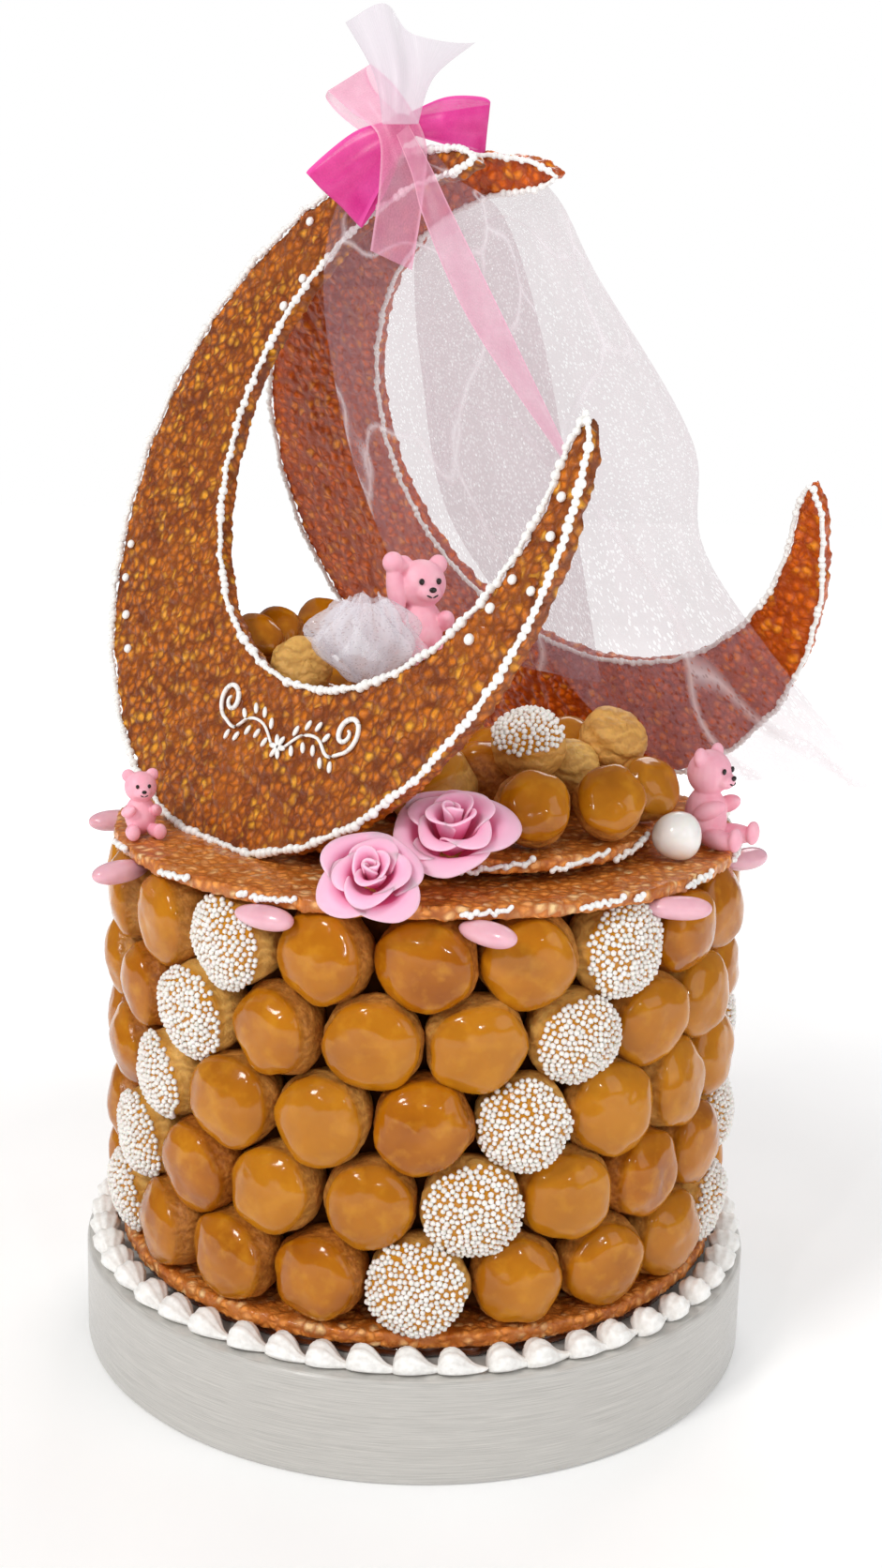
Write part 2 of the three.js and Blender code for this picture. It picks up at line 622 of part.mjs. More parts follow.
buildDrum();
buildIcingBorder();
buildDiscs();
for (let row = 0; row < ROWS; row += 1) buildRow(row);
buildCrescent('crescent_front', FRONT_CRESCENT);
buildCrescent('crescent_rear', REAR_CRESCENT);
buildDragees();
buildHeap();
buildAlmonds();
buildBears();
buildRoses();
buildPouf();
buildVeils();
buildBow();
buildOrganza();

export default model;
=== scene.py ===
import json
import math
import random
import bmesh
import bpy
from mathutils import Euler, Matrix, Vector, noise

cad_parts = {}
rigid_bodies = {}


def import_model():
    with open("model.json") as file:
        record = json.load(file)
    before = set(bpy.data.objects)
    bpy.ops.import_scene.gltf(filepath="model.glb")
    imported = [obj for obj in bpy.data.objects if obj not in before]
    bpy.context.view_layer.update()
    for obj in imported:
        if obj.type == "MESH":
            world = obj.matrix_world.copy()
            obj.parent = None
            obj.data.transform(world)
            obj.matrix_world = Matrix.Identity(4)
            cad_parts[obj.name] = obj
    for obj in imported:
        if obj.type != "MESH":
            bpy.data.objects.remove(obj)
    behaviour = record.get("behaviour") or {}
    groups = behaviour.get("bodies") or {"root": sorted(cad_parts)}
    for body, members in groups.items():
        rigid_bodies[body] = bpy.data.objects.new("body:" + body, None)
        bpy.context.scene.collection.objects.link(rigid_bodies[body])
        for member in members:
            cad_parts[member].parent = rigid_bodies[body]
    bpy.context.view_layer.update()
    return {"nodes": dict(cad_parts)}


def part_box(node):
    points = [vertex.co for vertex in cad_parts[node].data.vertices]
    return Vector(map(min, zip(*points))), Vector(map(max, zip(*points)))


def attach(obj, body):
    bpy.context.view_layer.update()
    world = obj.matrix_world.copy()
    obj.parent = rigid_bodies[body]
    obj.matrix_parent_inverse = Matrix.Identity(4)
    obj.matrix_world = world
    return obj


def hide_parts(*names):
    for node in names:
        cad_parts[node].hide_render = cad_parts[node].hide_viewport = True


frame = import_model()
scene = bpy.context.scene
nodes = frame["nodes"]
MM = 0.001

# ---------------------------------------------------------------- camera
# A portrait lens a little above the middle of the piece, looking slightly down at its front.
# The camera is turned and rolled by a degree or so, as a hand-held one is.
camera_data = bpy.data.cameras.new("camera")
camera_data.sensor_width = 36
camera_data.lens = 45.45
camera_data.clip_start = 0.05
camera_data.dof.use_dof = False
camera = bpy.data.objects.new("camera", camera_data)
scene.collection.objects.link(camera)
camera.matrix_world = (
    Matrix.Translation((0, -0.85082, 0.44638))
    @ Matrix.Rotation(math.radians(-0.413), 4, "Z")
    @ Matrix.Rotation(math.radians(90 - 12.928), 4, "X")
    @ Matrix.Rotation(math.radians(1.624), 4, "Z")
)
scene.camera = camera

# ---------------------------------------------------------------- room
# A pale table top that runs back to a white wall of light. One wide soft light stands high on
# the left, a second on the right, a third behind, and two small lamps make the glints on the caramel.
scene.view_settings.view_transform = "Standard"
scene.view_settings.look = "None"


def node_in(tree, kind, values=None, **settings):
    """A new node. values maps an input's name or number to a socket or a constant."""
    node = tree.nodes.new(kind)
    for key, value in settings.items():
        setattr(node, key, value)
    for key, value in (values or {}).items():
        if isinstance(value, bpy.types.NodeSocket):
            tree.links.new(value, node.inputs[key])
        else:
            node.inputs[key].default_value = value
    return node


def rgb(red, green, blue):
    """A display colour from 0 to 255 as the linear colour that shaders take."""
    def linear(value):
        value /= 255
        return value / 12.92 if value < 0.04045 else ((value + 0.055) / 1.055) ** 2.4
    return (linear(red), linear(green), linear(blue), 1.0)


def ramp(tree, factor, *stops):
    """A colour ramp through (position, colour) stops."""
    node = node_in(tree, "ShaderNodeValToRGB", {"Fac": factor})
    elements = node.color_ramp.elements
    elements[0].position, elements[0].color = stops[0]
    elements[1].position, elements[1].color = stops[-1]
    for position, colour in stops[1:-1]:
        elements.new(position).color = colour
    return node.outputs["Color"]


def new_material(name):
    material = bpy.data.materials.new(name)
    material.use_nodes = True
    material.node_tree.nodes.clear()
    return material, material.node_tree


def coordinates(tree, scale=(1, 1, 1)):
    """Object coordinates, stretched by scale."""
    place = node_in(tree, "ShaderNodeTexCoord").outputs["Object"]
    mapped = node_in(tree, "ShaderNodeMapping", {"Vector": place, "Scale": scale})
    return mapped.outputs["Vector"]


def noise_in(tree, vector, scale, detail=3.0, rough=0.5):
    values = {"Vector": vector, "Scale": scale, "Detail": detail, "Roughness": rough}
    return node_in(tree, "ShaderNodeTexNoise", values).outputs["Fac"]


def math_in(tree, operation, a, b=0.0, clamp=False):
    values = {0: a, 1: b}
    return node_in(tree, "ShaderNodeMath", values, operation=operation, use_clamp=clamp).outputs[0]


def mix_colour(tree, factor, a, b, blend="MIX"):
    node = node_in(tree, "ShaderNodeMix", data_type="RGBA", blend_type=blend)
    for index, value in ((0, factor), (6, a), (7, b)):
        if isinstance(value, bpy.types.NodeSocket):
            tree.links.new(value, node.inputs[index])
        else:
            node.inputs[index].default_value = value
    return node.outputs[2]


def surface(tree, values):
    """A Principled surface on the material's output."""
    shader = node_in(tree, "ShaderNodeBsdfPrincipled", values)
    node_in(tree, "ShaderNodeOutputMaterial", {"Surface": shader.outputs[0]})
    return shader


def bump(tree, height, strength, distance):
    values = {"Height": height, "Strength": strength, "Distance": distance}
    return node_in(tree, "ShaderNodeBump", values).outputs["Normal"]


floor_finish, tree = new_material("table_top")
grain = noise_in(tree, coordinates(tree), 6)
away = node_in(tree, "ShaderNodeVectorMath", {0: coordinates(tree)}, operation="LENGTH").outputs["Value"]
# The table top glows, weakly by the piece and more strongly further away: painted light that keeps the far
# table as white as the wall.
fade = node_in(tree, "ShaderNodeMapRange", {"Value": away, 1: 0.3, 2: 1.2, 3: 0.12, 4: 0.5}).outputs[0]
surface(tree, {
    "Base Color": ramp(tree, grain, (0.3, rgb(240, 240, 240)), (0.7, rgb(246, 246, 246))),
    "Roughness": 0.9,
    "Specular IOR Level": 0.1,
    "Emission Color": rgb(255, 255, 255),
    "Emission Strength": fade,
})
floor_mesh = bpy.data.meshes.new("table_top")
floor_mesh.from_pydata([(-4, -3, 0), (4, -3, 0), (4, 4, 0), (-4, 4, 0)], [], [(0, 1, 2, 3)])
floor = bpy.data.objects.new("table_top", floor_mesh)
floor_mesh.materials.append(floor_finish)
scene.collection.objects.link(floor)

world = bpy.data.worlds.new("studio")
world.use_nodes = True
tree = world.node_tree
path = node_in(tree, "ShaderNodeLightPath")
soft = node_in(tree, "ShaderNodeMapRange", {
    "Value": path.outputs["Is Glossy Ray"], 3: 0.6, 4: 0.22,
}).outputs[0]
strength = node_in(tree, "ShaderNodeMapRange", {
    "Value": path.outputs["Is Camera Ray"], 3: soft, 4: 1.0,
}).outputs[0]
tree.nodes["Background"].inputs["Color"].default_value = (1, 1, 1, 1)
tree.links.new(strength, tree.nodes["Background"].inputs["Strength"])
scene.world = world


def add_light(name, place, target, size, power, colour=(1, 1, 1)):
    data = bpy.data.lights.new(name, "AREA")
    data.shape = "RECTANGLE"
    data.size, data.size_y = size
    data.energy = power
    data.color = colour
    light = bpy.data.objects.new(name, data)
    light.location = place
    light.rotation_euler = (Vector(target) - Vector(place)).to_track_quat("-Z", "Y").to_euler()
    scene.collection.objects.link(light)


add_light("key", (-1.1, -1.3, 1.7), (0, 0, 0.25), (0.45, 0.45), 19, (1, 0.985, 0.96))
add_light("fill", (1.5, -1.1, 0.9), (0, 0, 0.25), (1.2, 1.2), 6, (0.96, 0.98, 1))
add_light("rim", (0.4, 1.4, 1.3), (0, 0, 0.35), (1.0, 0.6), 9)
add_light("glint_left", (-0.55, -1.3, 0.95), (0, 0, 0.2), (0.05, 0.05), 1.6)
add_light("glint_right", (0.5, -1.4, 0.8), (0, 0, 0.2), (0.04, 0.04), 1.0)

# ---------------------------------------------------------------- cake drum
# A polystyrene disc 300 mm across, wrapped in pearly white paper with a fine brushed grain.
# The edges are rolled over by hand, so they are soft.


def link_mesh(name, mesh, material, smooth=True):
    obj = bpy.data.objects.new(name, mesh)
    scene.collection.objects.link(obj)
    mesh.materials.clear()
    mesh.materials.append(material)
    for polygon in mesh.polygons:
        polygon.use_smooth = smooth
    return obj


def mesh_of(name, points, faces):
    """A mesh from points in millimetres."""
    mesh = bpy.data.meshes.new(name)
    mesh.from_pydata([tuple(value * MM for value in point) for point in points], [], faces)
    mesh.update()
    return mesh


def grid_of(name, columns, rows, point_at, wrap=False, cap=False):
    """A mesh from a grid: point_at(u, v), u round or across, v along, both from 0 to 1."""
    count = columns if wrap else columns + 1
    points = [
        point_at(column / columns, row / rows)
        for row in range(rows + 1)
        for column in range(count)
    ]
    faces = []
    for row in range(rows):
        for column in range(columns):
            a, b = row * count + column, row * count + (column + 1) % count
            faces.append((a, b, b + count, a + count))
    if cap:
        faces.append(tuple(reversed(range(count))))
        faces.append(tuple(range(rows * count, (rows + 1) * count)))
    return mesh_of(name, points, faces)


def lathe(name, profile, sides, material):
    """A solid turned about the vertical axis from (radius, height) pairs, from bottom to top."""
    steps = len(profile) - 1

    def point_at(u, v):
        radius, height = profile[round(v * steps)]
        angle = 2 * math.pi * u
        return (radius * math.cos(angle), radius * math.sin(angle), height)
    return link_mesh(name, grid_of(name, sides, steps, point_at, wrap=True, cap=True), material)


def settle_piece(obj, slot, *replaced):
    """The piece rides on the one body and stands for CAD nodes; slot is not used."""
    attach(obj, "root")
    if replaced:
        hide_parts(*replaced)
    return obj


drum_paper, tree = new_material("drum_paper")
streaks = noise_in(tree, coordinates(tree, (9, 9, 900)), 5, 5, 0.7)
flecks = noise_in(tree, coordinates(tree), 900, 2)
tint = ramp(tree, streaks, (0.32, rgb(168, 166, 161)), (0.5, rgb(190, 187, 182)), (0.7, rgb(208, 205, 199)))
surface(tree, {
    "Base Color": tint,
    "Roughness": ramp(tree, flecks, (0.3, (0.28, 0.28, 0.28, 1)), (0.7, (0.5, 0.5, 0.5, 1))),
    "Coat Weight": 0.25,
    "Sheen Weight": 0.15,
    "Normal": bump(tree, streaks, 0.25, 0.0006),
})
_, drum_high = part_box("base_drum")
drum_radius = drum_high.x / MM
drum_height = drum_high.z / MM
roll = 2.4
drum_profile = [(0.5, 0), (drum_radius - roll, 0)]
for step in range(7):
    angle = math.radians(-90 + 15 * step)
    drum_profile.append((drum_radius - roll + roll * math.cos(angle), roll + roll * math.sin(angle)))
for step in range(1, 9):
    drum_profile.append((drum_radius, roll + (drum_height - 2 * roll) * step / 9))
for step in range(7):
    angle = math.radians(15 * step)
    height = drum_height - roll + roll * math.sin(angle)
    drum_profile.append((drum_radius - roll + roll * math.cos(angle), height))
drum_profile.append((0.5, drum_height))
drum = lathe("cake_drum", drum_profile, 180, drum_paper)
settle_piece(drum, "drum_cover", "base_drum")

# ---------------------------------------------------------------- icing border
# Royal icing piped from a star nozzle: fifty drops, each with a round head and a pulled tail
# that the next head covers. It is dry, white and slightly satin.


def to_piece(obj, name, material):
    """obj with its modifiers applied, as a plain new piece."""
    graph = bpy.context.evaluated_depsgraph_get()
    mesh = bpy.data.meshes.new_from_object(obj.evaluated_get(graph))
    mesh.name = name
    bpy.data.objects.remove(obj)
    return link_mesh(name, mesh, material)


def geometry_group(name, build):
    """A geometry node group with one geometry in and one out, and the inputs that build adds."""
    group = bpy.data.node_groups.new(name, "GeometryNodeTree")
    group.interface.new_socket("Geometry", in_out="INPUT", socket_type="NodeSocketGeometry")
    group.interface.new_socket("Geometry", in_out="OUTPUT", socket_type="NodeSocketGeometry")
    build(group)
    return group


def run_group(carrier, group, inputs, name, material):
    """Runs a geometry node group on carrier with the named inputs, and keeps what it makes."""
    modifier = carrier.modifiers.new("make", "NODES")
    modifier.node_group = group
    for item in group.interface.items_tree:
        if item.in_out == "INPUT" and item.name in inputs:
            modifier[item.identifier] = inputs[item.name]
    return to_piece(carrier, name, material)


def tool_collection(name, tools):
    """The pieces that get stamped, in a collection of their own that isn't shown."""
    collection = bpy.data.collections.new(name)
    for tool in tools:
        for home in list(tool.users_collection):
            home.objects.unlink(tool)
        collection.objects.link(tool)
    return collection


def build_stamp(group):
    """Puts a tool on every point, by the point's own turn, size and kind."""
    face = group.interface
    face.new_socket("Tools", in_out="INPUT", socket_type="NodeSocketCollection")
    face.new_socket("Finish", in_out="INPUT", socket_type="NodeSocketMaterial")
    entry = node_in(group, "NodeGroupInput")

    def attribute(name, kind):
        node = node_in(group, "GeometryNodeInputNamedAttribute", {"Name": name}, data_type=kind)
        return node.outputs["Attribute"]
    tools = node_in(group, "GeometryNodeCollectionInfo", {
        "Collection": entry.outputs["Tools"], "Separate Children": True, "Reset Children": True,
    })
    stamped = node_in(group, "GeometryNodeInstanceOnPoints", {
        "Points": entry.outputs["Geometry"],
        "Instance": tools.outputs[0],
        "Pick Instance": True,
        "Instance Index": attribute("kind", "INT"),
        "Rotation": attribute("turn", "FLOAT_VECTOR"),
        "Scale": attribute("size", "FLOAT_VECTOR"),
    })
    real = node_in(group, "GeometryNodeRealizeInstances", {"Geometry": stamped.outputs[0]})
    painted = node_in(group, "GeometryNodeSetMaterial", {
        "Geometry": real.outputs[0], "Material": entry.outputs["Finish"],
    })
    node_in(group, "NodeGroupOutput", {"Geometry": painted.outputs[0]})


stamp_group = geometry_group("stamp", build_stamp)


def stamp(name, tools, places, material):
    """Stamps tools at places: each a (matrix in mm, size, kind, tone)."""
    mesh = mesh_of(name + "_places", [tuple(matrix.translation) for matrix, _, _, _ in places], [])
    for label, form in (
        ("turn", "FLOAT_VECTOR"), ("size", "FLOAT_VECTOR"), ("kind", "INT"), ("tone", "FLOAT"),
    ):
        mesh.attributes.new(label, form, "POINT")
    for index, (matrix, scale, which, shade) in enumerate(places):
        mesh.attributes["turn"].data[index].vector = matrix.to_euler()
        mesh.attributes["size"].data[index].vector = scale
        mesh.attributes["kind"].data[index].value = which
        mesh.attributes["tone"].data[index].value = shade
    carrier = bpy.data.objects.new(name + "_places", mesh)
    scene.collection.objects.link(carrier)
    return run_group(carrier, stamp_group, {"Tools": tools, "Finish": material}, name, material)


royal_icing, tree = new_material("royal_icing")
lumps = noise_in(tree, coordinates(tree), 420, 3)
surface(tree, {
    "Base Color": ramp(tree, lumps, (0.3, rgb(233, 231, 227)), (0.65, rgb(250, 249, 246))),
    "Roughness": 0.38,
    "Subsurface Weight": 0.12,
    "Subsurface Scale": 0.002,
    "Subsurface Radius": (1.0, 0.9, 0.8),
    "Normal": bump(tree, lumps, 0.2, 0.0008),
})


def drop_mesh(name, seed):
    """One piped drop: head at x 0, tail towards +X, standing on z 0."""
    half = [0.3, 3.4, 5.3, 6.4, 6.9, 6.9, 6.3, 5.3, 4.1, 3.1, 2.4, 1.9, 1.5, 1.1, 0.6, 0.15]
    reach = [-6.9, -6.5, -5.5, -4.0, -2.0, 0.0, 2.0, 3.9, 5.6, 7.2, 8.8, 10.3, 11.7, 12.9, 13.8, 14.3]

    def point_at(u, v):
        step = round(v * (len(half) - 1))
        angle = 2 * math.pi * u
        rib = 0.055 * math.cos(8 * angle + 1.6 * v + seed)
        radius = half[step] * (1 + rib)
        flick = 2.6 * max(v - 0.55, 0) ** 2 / 0.2
        lift = 0.78 * radius * (1 + math.sin(angle)) + flick
        return (reach[step], radius * math.cos(angle), max(lift, 0.0))
    return link_mesh(name, grid_of(name, 28, len(half) - 1, point_at, wrap=True, cap=True), royal_icing)


DROPS = 50
DROP_RING = 142
rng = random.Random(3)
drops = tool_collection("drops", [drop_mesh(f"drop_{kind}", kind * 1.7) for kind in range(3)])
drop_places = []
for number in range(DROPS):
    angle = math.radians(360 / DROPS * number + rng.uniform(-0.5, 0.5))
    place = Vector((DROP_RING * math.sin(angle), -DROP_RING * math.cos(angle), drum_height + 0.2))
    matrix = Matrix.Translation(place) @ Matrix.Rotation(angle + rng.uniform(-0.12, 0.12), 4, "Z")
    width = rng.uniform(0.92, 1.02)
    drop_places.append((matrix, (rng.uniform(0.95, 1.05), width, rng.uniform(0.9, 0.98)), number % 3, 0))
border = stamp("icing_border_drops", drops, drop_places, royal_icing)
settle_piece(border, "icing", "icing_border")

# ---------------------------------------------------------------- nougatine
# Chopped almonds in amber caramel, rolled out flat while hot and cut by hand. The faces are
# rough with nuts and shiny with caramel. Discs and crescents are all cut from it.


def build_rough(group):
    """Pushes a surface in and out with cells the size of chopped nuts."""
    face = group.interface
    for name, value in (("Cell", 250.0), ("Depth", 0.001), ("Seed", 1.0)):
        socket = face.new_socket(name, in_out="INPUT", socket_type="NodeSocketFloat")
        socket.default_value = value
    entry = node_in(group, "NodeGroupInput")
    position = node_in(group, "GeometryNodeInputPosition").outputs[0]
    cells = node_in(group, "ShaderNodeTexVoronoi", {
        "Vector": position, "W": entry.outputs["Seed"], "Scale": entry.outputs["Cell"],
    }, voronoi_dimensions="4D", feature="SMOOTH_F1")
    cells.inputs["Smoothness"].default_value = 0.35
    waves = node_in(group, "ShaderNodeTexNoise", {"Vector": position, "Scale": 90.0})
    height = math_in(group, "SUBTRACT", 0.42, cells.outputs["Distance"])
    swell = math_in(group, "SUBTRACT", waves.outputs[0], 0.5)
    total = math_in(group, "ADD", height, swell)
    push = math_in(group, "MULTIPLY", total, entry.outputs["Depth"])
    normal = node_in(group, "GeometryNodeInputNormal").outputs[0]
    offset = node_in(group, "ShaderNodeVectorMath", {0: normal}, operation="SCALE")
    group.links.new(push, offset.inputs["Scale"])
    moved = node_in(group, "GeometryNodeSetPosition", {
        "Geometry": entry.outputs["Geometry"], "Offset": offset.outputs[0],
    })
    node_in(group, "NodeGroupOutput", {"Geometry": moved.outputs[0]})


rough_group = geometry_group("rough", build_rough)


def roughened(node, name, material, voxel, cell, depth, seed):
    """A CAD solid's shape remade as a fine surface, and made rough."""
    carrier = bpy.data.objects.new(name + "_blank", nodes[node].data.copy())
    scene.collection.objects.link(carrier)
    remesh = carrier.modifiers.new("remesh", "REMESH")
    remesh.mode = "VOXEL"
    remesh.voxel_size = voxel
    inputs = {"Cell": cell, "Depth": depth, "Seed": seed}
    return run_group(carrier, rough_group, inputs, name, material)


def nougatine_material(name, light, middle, dark, glue):
    """Nut pieces of different tones, with darker caramel between them, under a glaze."""
    material, tree = new_material(name)
    place = coordinates(tree)
    warp = node_in(tree, "ShaderNodeTexNoise", {"Vector": place, "Scale": 160.0, "Detail": 2.0})
    bent = node_in(tree, "ShaderNodeVectorMath", {
        0: warp.outputs["Color"], 1: (0.004, 0.004, 0.004), 2: place,
    },
                   operation="MULTIPLY_ADD").outputs[0]
    cells = node_in(tree, "ShaderNodeTexVoronoi", {"Vector": bent, "Scale": 235.0})
    gaps = node_in(tree, "ShaderNodeTexVoronoi", {"Vector": bent, "Scale": 235.0}, feature="DISTANCE_TO_EDGE")
    fine = noise_in(tree, place, 900, 3)
    broad = noise_in(tree, place, 45, 3)
    pick = node_in(tree, "ShaderNodeSeparateColor", {"Color": cells.outputs["Color"]}).outputs[0]
    nuts = ramp(tree, pick, (0.0, dark), (0.35, middle), (0.65, middle), (1.0, light))
    shaded = mix_colour(tree, math_in(tree, "MULTIPLY", fine, 0.35), nuts, dark)
    core_of_nut = node_in(tree, "ShaderNodeMapRange", {
        "Value": cells.outputs["Distance"], 1: 0.15, 2: 0.72, 3: 1.0, 4: 0.12,
    }).outputs[0]
    edge = math_in(
        tree, "MULTIPLY", core_of_nut, math_in(tree, "MULTIPLY_ADD", gaps.outputs["Distance"], 2.2),
    )
    edge.node.inputs[2].default_value = 0.6
    edge.node.use_clamp = True
    body = mix_colour(tree, edge, glue, shaded)
    toned = mix_colour(
        tree, ramp(tree, broad, (0.4, (0, 0, 0, 1)), (0.75, (0.25, 0.25, 0.25, 1))), body, middle,
    )
    height = math_in(tree, "ADD", math_in(tree, "MULTIPLY", edge, 0.6), math_in(tree, "MULTIPLY", fine, 0.4))
    surface(tree, {
        "Base Color": toned,
        "Roughness": 0.36,
        "Specular IOR Level": 0.35,
        "Coat Weight": 0.22,
        "Coat Roughness": 0.05,
        "Subsurface Weight": 0.08,
        "Subsurface Scale": 0.002,
        "Normal": bump(tree, height, 0.9, 0.0013),
    })
    return material


nougatine = nougatine_material(
    "nougatine", rgb(255, 182, 44), rgb(216, 118, 6), rgb(148, 66, 0), rgb(106, 43, 0))
# The rear crescent's copy is brighter: painted light, lifting the shade that it stands in.
rear_nougatine_painted_light = nougatine_material(
    "nougatine_rear", rgb(255, 164, 34), rgb(240, 114, 2), rgb(190, 76, 0), rgb(152, 54, 0))
# The discs' copy is paler: partly their own paler nougatine and partly painted light against the shade of
# their rough faces.
disc_nougatine_partly_painted_light = nougatine_material(
    "nougatine_disc", rgb(255, 224, 164), rgb(250, 164, 78), rgb(204, 108, 32), rgb(168, 86, 18))
# A dark brown glossy layer for the thin parts under the bottom disc and under the tray.
dark_caramel, tree = new_material("dark_caramel")
depth = noise_in(tree, coordinates(tree), 120, 4)
surface(tree, {
    "Base Color": ramp(tree, depth, (0.35, rgb(66, 26, 8)), (0.65, rgb(122, 58, 14))),
    "Roughness": 0.16,
    "Coat Weight": 0.6,
    "Normal": bump(tree, depth, 0.5, 0.001),
})
for node, seed, voxel in (
    ("bottom_disc", 1.0, 0.0017), ("top_disc", 2.0, 0.0017), ("tray_disc", 3.0, 0.0015),
):
    piece = roughened(node, node + "_nougatine", disc_nougatine_partly_painted_light, voxel, 240.0, 0.0016, seed)
    settle_piece(piece, "nougatine", node)
for node, seed in (("caramel_bed", 4.0), ("tray_pad", 5.0)):
    piece = roughened(node, node + "_caramel", dark_caramel, 0.0017, 120.0, 0.0014, seed)
    settle_piece(piece, "caramel", node)
for node, seed, finish in (("crescent_front", 6.0, nougatine), ("crescent_rear", 7.0, rear_nougatine_painted_light)):
    piece = roughened(node, node + "_nougatine", finish, 0.00115, 240.0, 0.0022, seed)
    settle_piece(piece, "nougatine", node)

# ---------------------------------------------------------------- choux
# Small round choux buns, dipped cap down in caramel and left to set on a flat tray, so each cap
# is a smooth shallow dome with a soft edge. The sides stay wrinkled, baked and dull.


def choux_mesh(name, seed, wrinkle=1.0, glazed=True):
    """A choux about 38 mm across with its cap towards +Z, and a glaze value per point."""
    columns, rows = 44, 30

    def point_at(u, v):
        polar = math.pi * min(max(v, 0.004), 0.996)
        turn = 2 * math.pi * u
        way = Vector((math.sin(polar) * math.cos(turn), math.sin(polar) * math.sin(turn), math.cos(polar)))
        degrees = math.degrees(polar)
        lump = 1 + 0.085 * noise.noise(way * 1.5 + Vector((seed * 5.1, 0, 0)))
        lump += 0.02 * noise.noise(way * 4.5 + Vector((0, seed * 3.3, 0)))
        lip = 0.022 * math.exp(-((degrees - 62) / 7) ** 2)
        groove = -0.03 * math.exp(-((degrees - 76) / 6) ** 2)
        crease = noise.noise(Vector((way.x * 9, way.y * 9, way.z * 3 + seed * 3)))
        fade = min(max((degrees - 66) / 14, 0), 1) if glazed else 1.0
        crease += 0.5 * noise.noise(way * 5 + Vector((seed, 0, 7)))
        radius = lump + lip + (groove - 0.035 * wrinkle * abs(crease)) * fade
        flat = 1 - 0.2 * max(way.z, 0) ** 2
        return (19.2 * radius * way.x, 19.0 * radius * way.y, 18.4 * radius * flat * way.z)
    mesh = grid_of(name, columns, rows, point_at, wrap=True, cap=True)
    glaze = mesh.attributes.new("glaze", "FLOAT", "POINT")
    for vertex in mesh.vertices:
        way = Vector(vertex.co).normalized()
        ragged = 5 * noise.noise(way * 3 + Vector((0, seed * 2, 0)))
        degrees = math.degrees(math.acos(max(-1, min(1, way.z)))) + ragged
        glaze.data[vertex.index].value = min(max((76 - degrees) / 10, 0), 1) if glazed else 0.0
    return link_mesh(name, mesh, choux_skin)


choux_skin, tree = new_material("choux_skin")
place = coordinates(tree)
glazed = node_in(tree, "ShaderNodeAttribute", attribute_name="glaze").outputs["Fac"]
tone = node_in(tree, "ShaderNodeAttribute", attribute_name="tone").outputs["Fac"]
patches = noise_in(tree, place, 42, 3)
pores = noise_in(tree, place, 520, 4)
mottled = ramp(tree, patches, (0.3, rgb(146, 76, 0)), (0.5, rgb(168, 96, 2)), (0.72, rgb(186, 114, 10)))
spots = noise_in(tree, place, 130, 3)
flecked = mix_colour(
    tree, ramp(tree, spots, (0.5, (0, 0, 0, 1)), (0.74, (0.55, 0.55, 0.55, 1))), mottled,
    rgb(206, 140, 30),
)
pale_cap = mix_colour(tree, tone, flecked, rgb(196, 130, 26))
crust = ramp(tree, pores, (0.3, rgb(140, 74, 18)), (0.55, rgb(178, 106, 36)), (0.75, rgb(196, 128, 56)))
baked = mix_colour(tree, tone, crust, rgb(232, 182, 98))
# Darker bands along wavy folds on the unglazed sides: painted shade in the wrinkles. The same bands also make
# the bump.
folds = node_in(tree, "ShaderNodeTexWave", {
    "Vector": place, "Scale": 60.0, "Distortion": 9.0, "Detail": 3.0, "Detail Scale": 2.0,
}, bands_direction="Z")
side = mix_colour(tree, math_in(tree, "MULTIPLY", folds.outputs["Fac"], 0.35), baked, rgb(140, 78, 26))
skin = mix_colour(tree, glazed, side, pale_cap)
relief = math_in(tree, "MULTIPLY", math_in(tree, "SUBTRACT", 1.0, glazed),
                 math_in(tree, "ADD", pores, folds.outputs["Fac"]))
ripple = math_in(tree, "ADD", relief, math_in(tree, "MULTIPLY", math_in(tree, "ADD", patches, spots), 0.45))
choux_shine = node_in(tree, "ShaderNodeMapRange", {"Value": glazed, 3: 0.5, 4: 0.13}).outputs[0]
surface(tree, {
    "Base Color": skin,
    "Roughness": choux_shine,
    "Specular IOR Level": 0.28,
    "Coat Weight": math_in(tree, "MULTIPLY", glazed, 0.22),
    "Coat Roughness": 0.03,
    "Subsurface Weight": 0.1,
    "Subsurface Scale": 0.003,
    "Normal": bump(tree, ripple, 0.35, 0.0012),
})
choux_tools = tool_collection("choux", [
    choux_mesh(f"choux_{kind}", kind + 1, 1.0 if kind < 6 else 3.2, kind < 6) for kind in range(8)])

ROWS = 5
PER_ROW = 20
RING = 125.5
CHOUX_REACH = 19.2


def facing(direction, spin):
    """The turn that points local +Z along direction, spun about it."""
    return direction.to_track_quat("Z", "Y").to_matrix().to_4x4() @ Matrix.Rotation(spin, 4, "Z")


